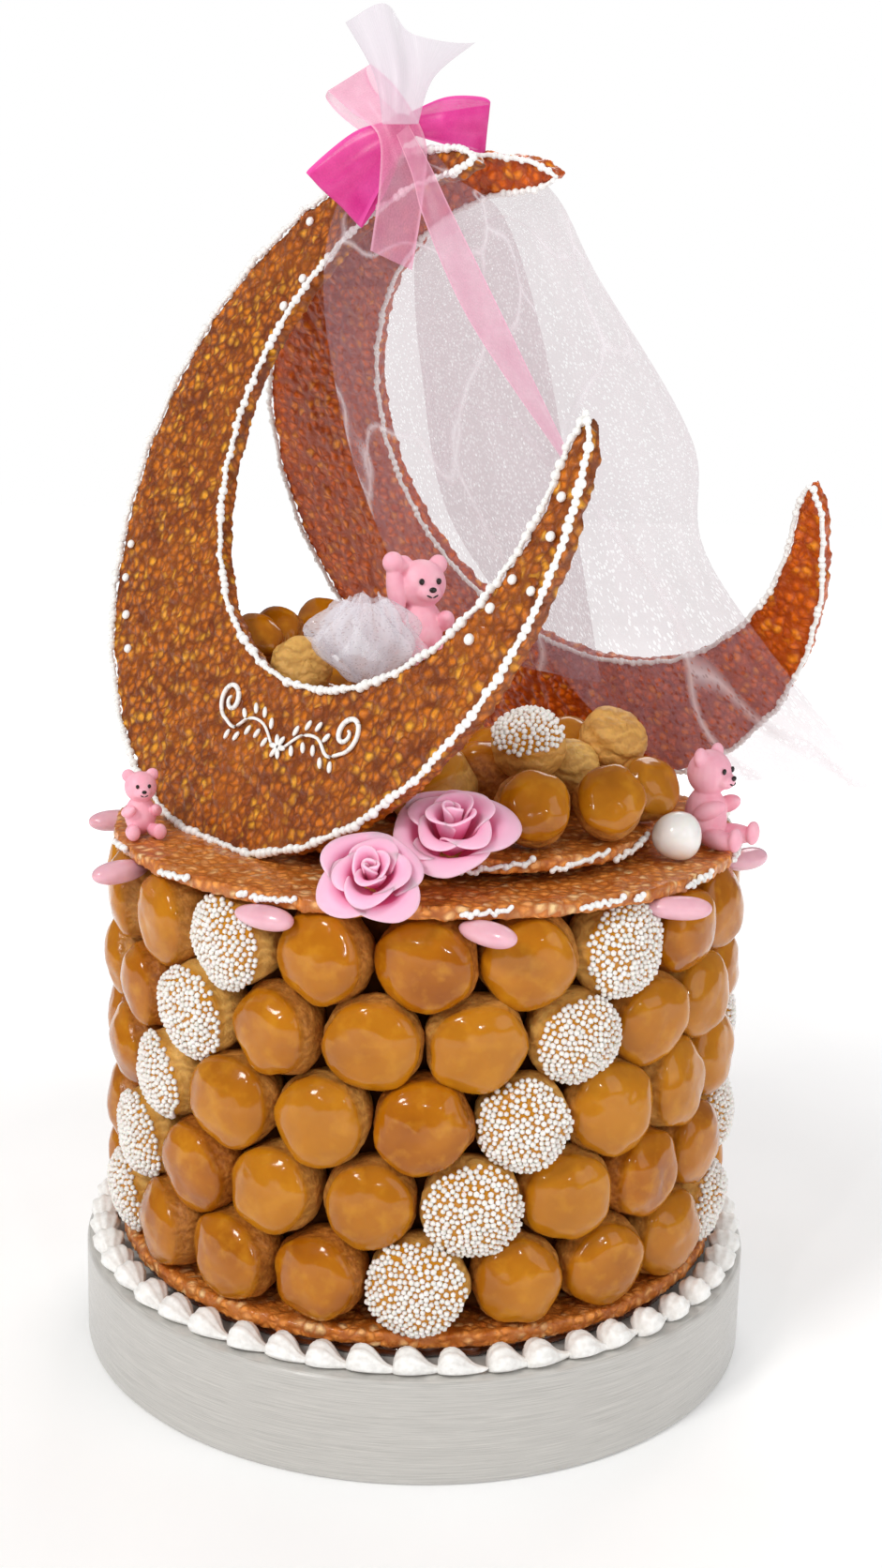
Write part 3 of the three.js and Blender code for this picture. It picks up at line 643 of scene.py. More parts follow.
rng = random.Random(11)
pearled_places = {}
for row in range(1, ROWS + 1):
    node = f"choux_row_{row}"
    low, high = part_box(node)
    middle = (low.z + high.z) / 2 / MM
    places = []
    pearled_places[row] = []
    for number in range(PER_ROW):
        degrees = 0.9 + 360 / PER_ROW * (number - (ROWS - row) / 2)
        angle = math.radians(degrees)
        out = Vector((math.sin(angle), -math.cos(angle), 0))
        place = out * RING + Vector((0, 0, middle))
        side = Vector((out.y, -out.x, 0)) * rng.uniform(-0.06, 0.26)
        tipped = (out + side + Vector((0, 0, rng.uniform(-0.16, 0.1)))).normalized()
        matrix = Matrix.Translation(place) @ facing(tipped, rng.uniform(0, 6.28))
        grow = rng.uniform(1.0, 1.07)
        entry = (matrix, (grow, grow, rng.uniform(0.98, 1.04)), rng.randrange(6), rng.uniform(0, 0.5))
        if number % 4 == 2:
            entry = (*entry[:3], 0.9)
            pearled_places[row].append(entry)
        places.append(entry)
    piece = stamp(f"choux_wall_{row}", choux_tools, places, choux_skin)
    settle_piece(piece, "choux", node)

# The wall is filled with more choux and set caramel behind the ones that show. Only dark gaps of it are seen,
# so it is one lumpy drum just inside the ring, coloured a dark brown that is painted shade for the gaps
# between the choux.
low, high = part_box("choux_row_1")
_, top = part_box("choux_row_5")


def filling_at(u, v):
    angle = 2 * math.pi * u
    radius = 112.5 + 2.5 * noise.noise(Vector((math.cos(angle) * 9, math.sin(angle) * 9, v * 12)))
    height = low.z / MM + (top.z - low.z) / MM * v
    return (radius * math.cos(angle), radius * math.sin(angle), height)


# Painted shade: a dark brown, darker than the baked choux.
gap_shade_brown, tree = new_material("baked_crumb")
shade = noise_in(tree, coordinates(tree), 150, 4)
surface(tree, {
    "Base Color": ramp(tree, shade, (0.3, rgb(70, 34, 10)), (0.7, rgb(128, 72, 26))),
    "Roughness": 0.85,
    "Specular IOR Level": 0.15,
    "Normal": bump(tree, shade, 0.5, 0.001),
})
filling_mesh = grid_of("wall_filling", 160, 40, filling_at, wrap=True, cap=True)
filling = link_mesh("wall_filling", filling_mesh, gap_shade_brown)
settle_piece(filling, "choux")

# ---------------------------------------------------------------- heap of choux
# More choux heaped inside the cradle, stuck with caramel. Some are glazed, some are left plain,
# and one has a cap of sugar pearls.
TRAY = Vector((17, -27))
_, disc_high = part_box("top_disc")
_, tray_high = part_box("tray_disc")
DISC_TOP = disc_high.z / MM
TRAY_TOP = tray_high.z / MM


def resting(x, y, radius):
    """The height of a ball that rests on the tray, or beside it on the disc."""
    beyond = (Vector((x, y)) - TRAY).length - 80
    if beyond >= radius:
        return DISC_TOP + radius
    return max(DISC_TOP + radius, TRAY_TOP + math.sqrt(radius ** 2 - max(beyond, 0) ** 2))


CORE = [
    (2, -62, 19), (24, -40, 19), (-8, -34, 19), (29, -8, 19), (0, -4, 19), (60, -12, 20),
    (-34, -8, 19), (8, 24, 19), (-24, 22, 19), (-50, 30, 19), (-28, 50, 19), (-74, 42, 19),
    (-56, 66, 19), (-46, 8, 18, 277), (-74, 42, 18, 284), (-56, 68, 18, 284),
    (-20, -14, 18, 289), (-14, 10, 19, 289), (-34, 30, 18, 284),
]
rng = random.Random(21)
core_places = []
for x, y, radius, *height in CORE:
    z = height[0] if height else resting(x, y, radius)
    way = Vector((rng.uniform(-0.5, 0.5), rng.uniform(-1, 0.2), rng.uniform(0.3, 1))).normalized()
    matrix = Matrix.Translation((x, y, z)) @ facing(way, rng.uniform(0, 6.28))
    grow = radius / CHOUX_REACH
    core_places.append((matrix, (grow, grow, grow), rng.randrange(6), rng.uniform(0, 0.6)))
core = stamp("heap_inside", choux_tools, core_places, choux_skin)
settle_piece(core, "choux", "heap_core")

HEAP_WAYS = [
    (0.15, -0.85, 0.4), (0.1, -0.85, 0.5), (0.1, -0.4, 0.9), (0.5, -0.7, 0.5), (-0.1, -0.45, 0.9),
    (0.4, -0.5, 0.8), (0.3, -0.8, 0.5), (0.1, -0.7, 0.7), (-0.2, -0.7, 0.6), (0.1, -0.5, 0.8),
]
HEAP_TONES = [0.2, 0.3, 1.0, 0.4, 0.6, 0.7, 0.9, 0.1, 0.1, 0.2]
HEAP_SINK = [0, 0, 0, 0, 1, 8, 0, 0, 0, 0]
HEAP_GROW = [1.04, 1.04, 1.1, 1.03, 1.2, 1.16, 1.08, 1.1, 1.05, 1.05]
PLAIN = {2: 6, 5: 7, 6: 7}
heap_places = []
for number, (way, tone) in enumerate(zip(HEAP_WAYS, HEAP_TONES)):
    low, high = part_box(f"heap_choux_{number + 1}")
    middle = (low + high) / 2 / MM
    width = (high.x - low.x) / MM
    middle.z -= HEAP_SINK[number]
    matrix = Matrix.Translation(middle) @ facing(Vector(way).normalized(), number * 1.3)
    grow = width / 2 / CHOUX_REACH * HEAP_GROW[number]
    heap_places.append((matrix, (grow, grow, grow), PLAIN.get(number, number % 6), tone))
heap = stamp("heap_outside", choux_tools, heap_places, choux_skin)
settle_piece(heap, "choux", *[f"heap_choux_{number + 1}" for number in range(10)])

# ---------------------------------------------------------------- sugar pearls
# Every fourth choux of each row has its cap rolled in white sugar pearls 2.6 mm across while
# the caramel is wet. The pearls lie close, in one uneven layer.


def ball_tool(name, radius, material, detail=1):
    mesh = bpy.data.meshes.new(name)
    shape = bmesh.new()
    bmesh.ops.create_icosphere(shape, subdivisions=detail, radius=radius * MM)
    shape.to_mesh(mesh)
    shape.free()
    return link_mesh(name, mesh, material)


def build_pearls(group):
    """Scatters a tool over a surface, no two closer than Apart."""
    face = group.interface
    face.new_socket("Tool", in_out="INPUT", socket_type="NodeSocketObject")
    face.new_socket("Apart", in_out="INPUT", socket_type="NodeSocketFloat")
    face.new_socket("Seed", in_out="INPUT", socket_type="NodeSocketInt")
    face.new_socket("Finish", in_out="INPUT", socket_type="NodeSocketMaterial")
    entry = node_in(group, "NodeGroupInput")
    spots = node_in(group, "GeometryNodeDistributePointsOnFaces", {
        "Mesh": entry.outputs["Geometry"], "Distance Min": entry.outputs["Apart"],
        "Density Max": 3000000.0, "Seed": entry.outputs["Seed"],
    }, distribute_method="POISSON")
    tool = node_in(group, "GeometryNodeObjectInfo", {"Object": entry.outputs["Tool"], "As Instance": True})
    sizes = node_in(group, "FunctionNodeRandomValue", {2: 0.85, 3: 1.12, "Seed": 5}, data_type="FLOAT")
    stamped = node_in(group, "GeometryNodeInstanceOnPoints", {
        "Points": spots.outputs["Points"], "Instance": tool.outputs["Geometry"],
        "Scale": sizes.outputs[1],
    })
    real = node_in(group, "GeometryNodeRealizeInstances", {"Geometry": stamped.outputs[0]})
    painted = node_in(group, "GeometryNodeSetMaterial", {
        "Geometry": real.outputs[0], "Material": entry.outputs["Finish"],
    })
    node_in(group, "NodeGroupOutput", {"Geometry": painted.outputs[0]})


pearl_group = geometry_group("pearls", build_pearls)
sugar_pearl, tree = new_material("sugar_pearl")
shade = noise_in(tree, coordinates(tree), 300, 2)
surface(tree, {
    "Base Color": ramp(tree, shade, (0.3, rgb(226, 221, 214)), (0.7, rgb(247, 244, 240))),
    "Roughness": 0.32,
    "Subsurface Weight": 0.1,
    "Subsurface Scale": 0.001,
})
pearl_tool = ball_tool("pearl", 1.3, sugar_pearl)
tool_collection("pearl_tools", [pearl_tool])
choux_variants = sorted(choux_tools.objects, key=lambda tool: tool.name)


def pearled_caps(name, places, seed):
    """Pearls over the glazed caps of the choux at places."""
    points, faces = [], []
    for matrix, size, kind, _ in places:
        source = choux_variants[kind].data
        shape = matrix @ Matrix.Diagonal((*size, 1))
        offset = len(points)
        points += [tuple(shape @ (vertex.co / MM * 1.02)) for vertex in source.vertices]
        for polygon in source.polygons:
            heights = [source.vertices[index].co.normalized().z for index in polygon.vertices]
            if min(heights) > 0.36:
                faces.append([offset + index for index in polygon.vertices])
    mesh = mesh_of(name + "_caps", points, faces)
    carrier = bpy.data.objects.new(name + "_caps", mesh)
    scene.collection.objects.link(carrier)
    inputs = {"Tool": pearl_tool, "Apart": 0.0021, "Seed": seed, "Finish": sugar_pearl}
    return run_group(carrier, pearl_group, inputs, name, sugar_pearl)


for row, places in pearled_places.items():
    settle_piece(pearled_caps(f"pearls_row_{row}", places, 30 + row), "icing")
settle_piece(pearled_caps("pearls_heap", [heap_places[4]], 40), "icing")

# ---------------------------------------------------------------- dragees and almonds
# Sugar-coated almonds: pink ones pressed into the notches under the edge of the top disc, and
# white ones by the right bear. The coat is smooth with a soft shine.


def dragee_mesh(name, length, width, height, material):
    def point_at(u, v):
        polar = math.pi * min(max(v, 0.01), 0.99)
        turn = 2 * math.pi * u
        full = math.sin(polar) ** 0.92 * (1 + 0.1 * math.cos(polar))
        dent = 1 + 0.03 * noise.noise(Vector((v * 3, math.cos(turn), math.sin(turn))))
        return (
            length / 2 * math.cos(polar),
            width / 2 * full * dent * math.cos(turn),
            height / 2 * full * dent * math.sin(turn),
        )
    mesh = grid_of(name, 32, 26, point_at, wrap=True, cap=True)
    mesh.flip_normals()
    return link_mesh(name, mesh, material)


def sugar_coat(name, pale, deep):
    material, tree = new_material(name)
    cloud = noise_in(tree, coordinates(tree), 90, 3)
    surface(tree, {
        "Base Color": ramp(tree, cloud, (0.3, deep), (0.7, pale)),
        "Roughness": 0.24,
        "Coat Weight": 0.3,
        "Subsurface Weight": 0.15,
        "Subsurface Scale": 0.002,
        "Normal": bump(tree, cloud, 0.15, 0.0008),
    })
    return material


pink_coat = sugar_coat("pink_coat", rgb(234, 184, 196), rgb(222, 164, 178))
white_coat = sugar_coat("white_coat", rgb(246, 244, 241), rgb(232, 229, 224))
TURNS = [50, 45, 40, 75, 20, 60, 35, 60, 75, 5]
dragee_tools = tool_collection("dragees", [dragee_mesh("dragee", 26.5, 11.6, 9.6, pink_coat)])
places = []
for number, turn in enumerate(TURNS):
    low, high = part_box(f"dragee_pink_{number + 1}")
    degrees = 0.9 + 9 + 36 * number
    middle = (low + high) / 2 / MM
    matrix = Matrix.Translation(middle) @ Matrix.Rotation(math.radians(degrees - turn), 4, "Z")
    places.append((matrix, (1, 1, 1), 0, 0))
dragees = stamp("dragees_pink", dragee_tools, places, pink_coat)
settle_piece(dragees, "sugar_pink", *[f"dragee_pink_{number + 1}" for number in range(10)])
low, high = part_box("almond_white_1")
egg_tools = tool_collection("eggs", [
    dragee_mesh("egg", 20.4, 20.0, 20.4, white_coat), dragee_mesh("oval", 17, 12, 10, white_coat)])
egg_low, egg_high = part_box("almond_white_2")
eggs = stamp("almonds_white", egg_tools, [
    (Matrix.Translation((low + high) / 2 / MM), (1, 1, 1), 0, 0),
    (
        Matrix.Translation((egg_low + egg_high) / 2 / MM) @ Matrix.Rotation(math.radians(40), 4, "Z"),
        (1, 1, 1), 1, 0,
    ),
], white_coat)
settle_piece(eggs, "sugar_white", "almond_white_1", "almond_white_2")

# ---------------------------------------------------------------- piped icing
# White royal icing from a fine nozzle: a string of small beads along both edges of each
# crescent, dots on the front one, a scroll with leaves low on its face, and beads on the disc.
LEAN = math.radians(21)
FRONT = {"centre": Vector((-46, -15, 376.8)), "turn": math.radians(52), "lean": LEAN}
REAR = {"centre": Vector((41.4, 69.5, 376)), "turn": math.radians(39), "lean": -LEAN}


def basis(pose):
    """Right, up and out of a crescent's face."""
    turn, lean = pose["turn"], pose["lean"]
    back = Vector((math.sin(turn), math.cos(turn), 0))
    right = Vector((math.cos(turn), -math.sin(turn), 0))
    up = Vector((0, 0, math.cos(lean))) + back * math.sin(lean)
    out = -back * math.cos(lean) + Vector((0, 0, math.sin(lean)))
    return right, up, out


def on_face(pose, u, v, lift=0.0):
    right, up, out = basis(pose)
    return pose["centre"] + right * u + up * v + out * lift


def face_outline(node, pose):
    """The outline of a crescent's front face, as one closed run of points."""
    mesh = nodes[node].data
    _, _, out = basis(pose)
    kept = [
        polygon for polygon in mesh.polygons
        if polygon.normal.dot(out) > 0.98
        and abs((Vector(polygon.center) / MM - pose["centre"]).dot(out)) < 0.5
    ]
    count = {}
    key = {
        index: tuple(round(value, 5) for value in mesh.vertices[index].co)
        for index in range(len(mesh.vertices))
    }
    for polygon in kept:
        for a, b in polygon.edge_keys:
            pair = tuple(sorted((key[a], key[b])))
            count[pair] = count.get(pair, 0) + 1
    following = {}
    for (a, b), uses in count.items():
        if uses == 1:
            following.setdefault(a, []).append(b)
            following.setdefault(b, []).append(a)
    start = min(following)
    loop, previous, current = [start], None, start
    while True:
        options = [point for point in following[current] if point != previous]
        if not options or options[0] == start or len(loop) > 2000:
            break
        previous, current = current, options[0]
        loop.append(current)
    return [Vector(point) / MM for point in loop]


def build_string(group):
    """Beads along a line: a thin cord of icing with a swelling at every step."""
    face = group.interface
    face.new_socket("Step", in_out="INPUT", socket_type="NodeSocketFloat")
    face.new_socket("Bead", in_out="INPUT", socket_type="NodeSocketFloat")
    face.new_socket("Seed", in_out="INPUT", socket_type="NodeSocketInt")
    face.new_socket("Tool", in_out="INPUT", socket_type="NodeSocketObject")
    face.new_socket("Finish", in_out="INPUT", socket_type="NodeSocketMaterial")
    entry = node_in(group, "NodeGroupInput")
    line = node_in(group, "GeometryNodeMeshToCurve", {"Mesh": entry.outputs["Geometry"]})
    spaced = node_in(group, "GeometryNodeResampleCurve", {
        "Curve": line.outputs[0], "Length": entry.outputs["Step"],
    }, mode="LENGTH")
    drift = node_in(group, "FunctionNodeRandomValue", {
        0: (-0.0004, -0.0004, -0.0004), 1: (0.0004, 0.0004, 0.0004), "Seed": entry.outputs["Seed"],
    }, data_type="FLOAT_VECTOR")
    moved = node_in(group, "GeometryNodeSetPosition", {
        "Geometry": spaced.outputs[0], "Offset": drift.outputs[0],
    })
    tool = node_in(group, "GeometryNodeObjectInfo", {"Object": entry.outputs["Tool"], "As Instance": True})
    sizes = node_in(
        group, "FunctionNodeRandomValue", {2: 0.6, 3: 1.2, "Seed": entry.outputs["Seed"]},
        data_type="FLOAT",
    )
    scaled = math_in(group, "MULTIPLY", sizes.outputs[1], entry.outputs["Bead"])
    stamped = node_in(group, "GeometryNodeInstanceOnPoints", {
        "Points": moved.outputs[0], "Instance": tool.outputs["Geometry"], "Scale": scaled,
    })
    real = node_in(group, "GeometryNodeRealizeInstances", {"Geometry": stamped.outputs[0]})
    thin = node_in(group, "GeometryNodeCurvePrimitiveCircle", {"Radius": 0.001, "Resolution": 8})
    cord = node_in(group, "GeometryNodeCurveToMesh", {
        "Curve": moved.outputs[0], "Profile Curve": thin.outputs[0], "Fill Caps": True,
    })
    both = node_in(group, "GeometryNodeJoinGeometry")
    group.links.new(cord.outputs[0], both.inputs[0])
    group.links.new(real.outputs[0], both.inputs[0])
    painted = node_in(group, "GeometryNodeSetMaterial", {
        "Geometry": both.outputs[0], "Material": entry.outputs["Finish"],
    })
    node_in(group, "NodeGroupOutput", {"Geometry": painted.outputs[0]})


string_group = geometry_group("bead_string", build_string)
bead_tool = ball_tool("bead", 1.0, royal_icing, 2)
bead_home = tool_collection("bead_tools", [bead_tool])


def bead_string(name, lines, step, bead, seed):
    """A bead string along each line of points."""
    points, edges = [], []
    for line in lines:
        offset = len(points)
        points += [tuple(point) for point in line]
        edges += [(offset + index, offset + index + 1) for index in range(len(line) - 1)]
    mesh = bpy.data.meshes.new(name + "_line")
    mesh.from_pydata([tuple(value * MM for value in point) for point in points], edges, [])
    carrier = bpy.data.objects.new(name + "_line", mesh)
    scene.collection.objects.link(carrier)
    inputs = {"Step": step * MM, "Bead": bead, "Seed": seed, "Tool": bead_tool, "Finish": royal_icing}
    return run_group(carrier, string_group, inputs, name, royal_icing)


for name, node, pose, bead in (
    ("string_front", "crescent_front", FRONT, 1.85), ("string_rear", "crescent_rear", REAR, 1.5),
):
    _, _, out = basis(pose)
    outline = face_outline(node, pose)
    loop = [point + out * 0.9 for point in outline + outline[:1]]
    string = bead_string(name, [loop], 3.5, bead, 50)
    settle_piece(string, "icing")

DOTS = [
    (-77, 123), (-68, 96), (-76, 83), (-140, -36), (-135, -52), (-124, -69), (-113, -84),
    (145, 12), (146, -3), (133, -21), (145, -24), (126, -33), (120, -46),
]
dot_places = []
rng = random.Random(61)
for u, v in DOTS:
    place = on_face(FRONT, u, v, 1.0)
    grow = rng.uniform(1.9, 2.4)
    matrix = Matrix.Translation(place) @ facing(basis(FRONT)[2], 0)
    dot_places.append((matrix, (grow, grow, grow * 0.75), 0, 0))
dots = stamp("icing_dots", bead_home, dot_places, royal_icing)
settle_piece(dots, "icing")


def rim_stroke(middle, spread, radius, height, centre=(0, 0)):
    """A short wavy stroke of piped icing round the rim of a disc."""
    line = []
    for step in range(15):
        along = step / 14 - 0.5
        angle = math.radians(middle + spread * along)
        rise = 1.6 * along * spread / 8 + 0.9 * math.sin(step * 1.9)
        line.append(Vector((
            centre[0] + radius * math.sin(angle), centre[1] - radius * math.cos(angle), height + rise)))
    return line


strokes = [rim_stroke(middle, 8, 137.6, 232.8) for middle in (-46.6, -25, 10, 30, 54, 74, -68, 96)]
strokes += [rim_stroke(middle, 1.5, 137.6, 232.8) for middle in (-30.5, 37.5)]
strokes += [rim_stroke(middle, 20, 80.6, 242.6, TRAY) for middle in (8, 34, 58)]
rim_icing = bead_string("rim_icing", strokes, 2.0, 1.3, 55)
settle_piece(rim_icing, "icing")

# The ornament is a piped spray: a small blossom with a curled vine to each side, one the mirror
# of the other, and leaf drops along them.
SPRAY = Vector((24, -106))


def curl(centre, start, turns, outer):
    """A spiral that winds in to centre from outer millimetres away."""
    steps = 26
    line = []
    for step in range(steps + 1):
        angle = start + turns * 2 * math.pi * step / steps
        radius = outer * (1 - 0.85 * step / steps)
        line.append((centre[0] + radius * math.cos(angle), centre[1] + radius * math.sin(angle)))
    return line


SCROLL, LEAVES = [], []
for side in (-1, 1):
    stem = [(5, 0), (14, 5), (25, 4), (34, -3), (42, -2)]
    big = curl((42, 6.5), -math.pi / 2, 1.4, 8.5)
    SCROLL.append([(SPRAY.x + side * x, SPRAY.y + 0.16 * abs(x) + y) for x, y in stem + big[1:]])
    for x, y, lean in (
        (9, 7, 70), (16, 9.5, 65), (23, 9, 60), (30, 4.5, 50),
        (10, -1.5, -60), (17, 0, -60), (24, -1, -65), (31, -6, -60), (38, -7.5, -70),
    ):
        LEAVES.append((SPRAY.x + side * x, SPRAY.y + 0.16 * x + y, 90 + side * (lean - 90)))
for petal_number in range(6):
    angle = petal_number * math.pi / 3
    LEAVES.append((SPRAY.x + 3.1 * math.cos(angle), SPRAY.y + 3.1 * math.sin(angle), math.degrees(angle)))


def smooth_line(points, steps=10):
    """Points along a soft curve through points."""
    line = []
    for index in range(len(points) - 1):
        p0 = Vector(points[max(index - 1, 0)])
        p1, p2 = Vector(points[index]), Vector(points[index + 1])
        p3 = Vector(points[min(index + 2, len(points) - 1)])
        for step in range(steps):
            t = step / steps
            line.append(0.5 * (
                2 * p1 + (p2 - p0) * t + (2 * p0 - 5 * p1 + 4 * p2 - p3) * t ** 2
                + (3 * p1 - p0 - 3 * p2 + p3) * t ** 3))
    line.append(Vector(points[-1]))
    return line


def tube(name, lines, radius_at, sides, material):
    """One solid tube along each line of points, its radius given along it from 0 to 1."""
    points, faces = [], []
    for line in lines:
        start = len(points)
        count = len(line)
        for index, point in enumerate(line):
            ahead = (line[min(index + 1, count - 1)] - line[max(index - 1, 0)]).normalized()
            side = ahead.orthogonal().normalized()
            other = ahead.cross(side)
            radius = radius_at(index / (count - 1))
            for corner in range(sides):
                angle = 2 * math.pi * corner / sides
                points.append(point + (side * math.cos(angle) + other * math.sin(angle)) * radius)
        for index in range(count - 1):
            for corner in range(sides):
                a = start + index * sides + corner
                b = start + index * sides + (corner + 1) % sides
                faces.append((a, b, b + sides, a + sides))
        faces.append(tuple(reversed(range(start, start + sides))))
        faces.append(tuple(range(start + (count - 1) * sides, start + count * sides)))
    return link_mesh(name, mesh_of(name, points, faces), material)


scroll_lines = []
for stroke in SCROLL:
    flat = smooth_line([(u, v, 0) for u, v in stroke], 4)
    scroll_lines.append([on_face(FRONT, point.x, point.y, 1.0) for point in flat])
scroll = tube("icing_scroll", scroll_lines, lambda t: 0.6 + 0.5 * math.sin(math.pi * t), 10, royal_icing)
settle_piece(scroll, "icing")
leaf_places = []
right, up, out = basis(FRONT)
for x, y, degrees in LEAVES:
    lean = math.radians(degrees)
    along = right * math.cos(lean) + up * math.sin(lean)
    across = out.cross(along)
    place = on_face(FRONT, x, y, 0.8)
    matrix = Matrix((along, across, out)).transposed().to_4x4()
    leaf_places.append((Matrix.Translation(place) @ matrix, (2.6, 1.2, 0.9), 0, 0))
leaves = stamp("icing_leaves", bead_home, leaf_places, royal_icing)
settle_piece(leaves, "icing")

# ---------------------------------------------------------------- sugar bears
# Three small sitting bears modelled by hand from pink sugar paste. Eyes and noses are dots of
# black sugar. The middle one holds up a paw.


def paste(name, pale, deep, rough=0.5):
    material, tree = new_material(name)
    soft = noise_in(tree, coordinates(tree), 160, 3)
    surface(tree, {
        "Base Color": ramp(tree, soft, (0.3, deep), (0.7, pale)),
        "Roughness": rough,
        "Subsurface Weight": 0.2,
        "Subsurface Scale": 0.003,
        "Subsurface Radius": (1.0, 0.5, 0.5),
        "Normal": bump(tree, soft, 0.2, 0.0006),
    })
    return material


bear_paste = paste("bear_paste", rgb(250, 188, 202), rgb(242, 166, 186))
black_sugar = paste("black_sugar", rgb(40, 32, 30), rgb(24, 20, 20), 0.25)


def blob(shape, centre, radii, turn=(0, 0, 0)):
    """Adds a ball stretched to radii at centre."""
    matrix = Matrix.Translation(centre) @ Euler([math.radians(value) for value in turn]).to_matrix().to_4x4()
    matrix = matrix @ Matrix.Diagonal((*radii, 1))
    bmesh.ops.create_uvsphere(shape, u_segments=24, v_segments=16, radius=1, matrix=matrix)


def bear(name, node, facing_degrees, wave):
    """A bear one unit tall, facing -Y, grown to the height of its CAD node and put in its place."""
    low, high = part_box(node)
    tall = high.z - low.z
    foot = Vector(((low.x + high.x) / 2, (low.y + high.y) / 2, low.z))
    shape = bmesh.new()
    blob(shape, (0, 0, 0.29), (0.23, 0.2, 0.29))
    blob(shape, (0, -0.05, 0.24), (0.17, 0.17, 0.2))
    blob(shape, (0, -0.02, 0.71), (0.235, 0.215, 0.225))
    blob(shape, (0, -0.19, 0.65), (0.12, 0.1, 0.085))
    for side in (-1, 1):
        blob(shape, (side * 0.175, 0.0, 0.88), (0.095, 0.055, 0.095))
        blob(shape, (side * 0.17, -0.24, 0.1), (0.1, 0.22, 0.1), (0, 0, side * 12))
        blob(shape, (side * 0.19, -0.43, 0.13), (0.1, 0.06, 0.12))
    blob(shape, (0.2, -0.14, 0.38), (0.085, 0.17, 0.085), (-25, 0, -20))
    if wave:
        blob(shape, (-0.27, -0.06, 0.66), (0.085, 0.085, 0.27), (0, -10, 0))
        blob(shape, (-0.31, -0.07, 0.92), (0.1, 0.08, 0.1))
    else:
        blob(shape, (-0.2, -0.14, 0.38), (0.085, 0.17, 0.085), (-25, 0, 20))
    turn = (
        Matrix.Translation(foot) @ Matrix.Rotation(math.radians(facing_degrees), 4, "Z")
        @ Matrix.Scale(tall, 4)
    )
    turn = turn @ Matrix.Translation((0, 0.1, 0))
    bmesh.ops.transform(shape, matrix=turn, verts=shape.verts)
    mesh = bpy.data.meshes.new(name)
    shape.to_mesh(mesh)
    shape.free()
    carrier = bpy.data.objects.new(name + "_lumps", mesh)
    scene.collection.objects.link(carrier)
    remesh = carrier.modifiers.new("remesh", "REMESH")
    remesh.mode = "VOXEL"
    remesh.voxel_size = tall / 90
    soften = carrier.modifiers.new("soften", "SMOOTH")
    soften.iterations = 5
    settle_piece(to_piece(carrier, name, bear_paste), "bear_paste", node)
    dots = bmesh.new()
    for side in (-1, 1):
        blob(dots, (side * 0.085, -0.222, 0.755), (0.026, 0.018, 0.03))
    blob(dots, (0, -0.285, 0.685), (0.036, 0.022, 0.026))
    for side in (-1, 1):
        blob(dots, (side * 0.03, -0.278, 0.625), (0.03, 0.012, 0.009), (0, side * -25, 0))
    bmesh.ops.transform(dots, matrix=turn, verts=dots.verts)
    face = bpy.data.meshes.new(name + "_face")
    dots.to_mesh(face)
    dots.free()
    settle_piece(link_mesh(name + "_face", face, black_sugar), "bear_paste")


bear("sugar_bear_left", "bear_left", 20, False)
bear("sugar_bear_middle", "bear_middle", 25, True)
bear("sugar_bear_right", "bear_right", 55, False)

# ---------------------------------------------------------------- sugar roses
# Roses of rolled sugar paste: thin petals wrapped round a bud, each with a curled pale lip and
# deeper pink at its foot.
rose_paste, tree = new_material("rose_paste")
lip = node_in(tree, "ShaderNodeAttribute", attribute_name="lip").outputs["Fac"]
veins = noise_in(tree, coordinates(tree), 220, 3)
petal_tint = ramp(tree, lip, (0.0, rgb(250, 84, 146)), (0.45, rgb(255, 136, 182)), (1.0, rgb(255, 190, 214)))
surface(tree, {
    "Base Color": mix_colour(tree, math_in(tree, "MULTIPLY", veins, 0.2), petal_tint, rgb(255, 176, 204)),
    "Roughness": 0.48,
    "Subsurface Weight": 0.55,
    "Subsurface Scale": 0.006,
    "Subsurface Radius": (1.0, 0.5, 0.65),
    "Normal": bump(tree, veins, 0.12, 0.0006),
})


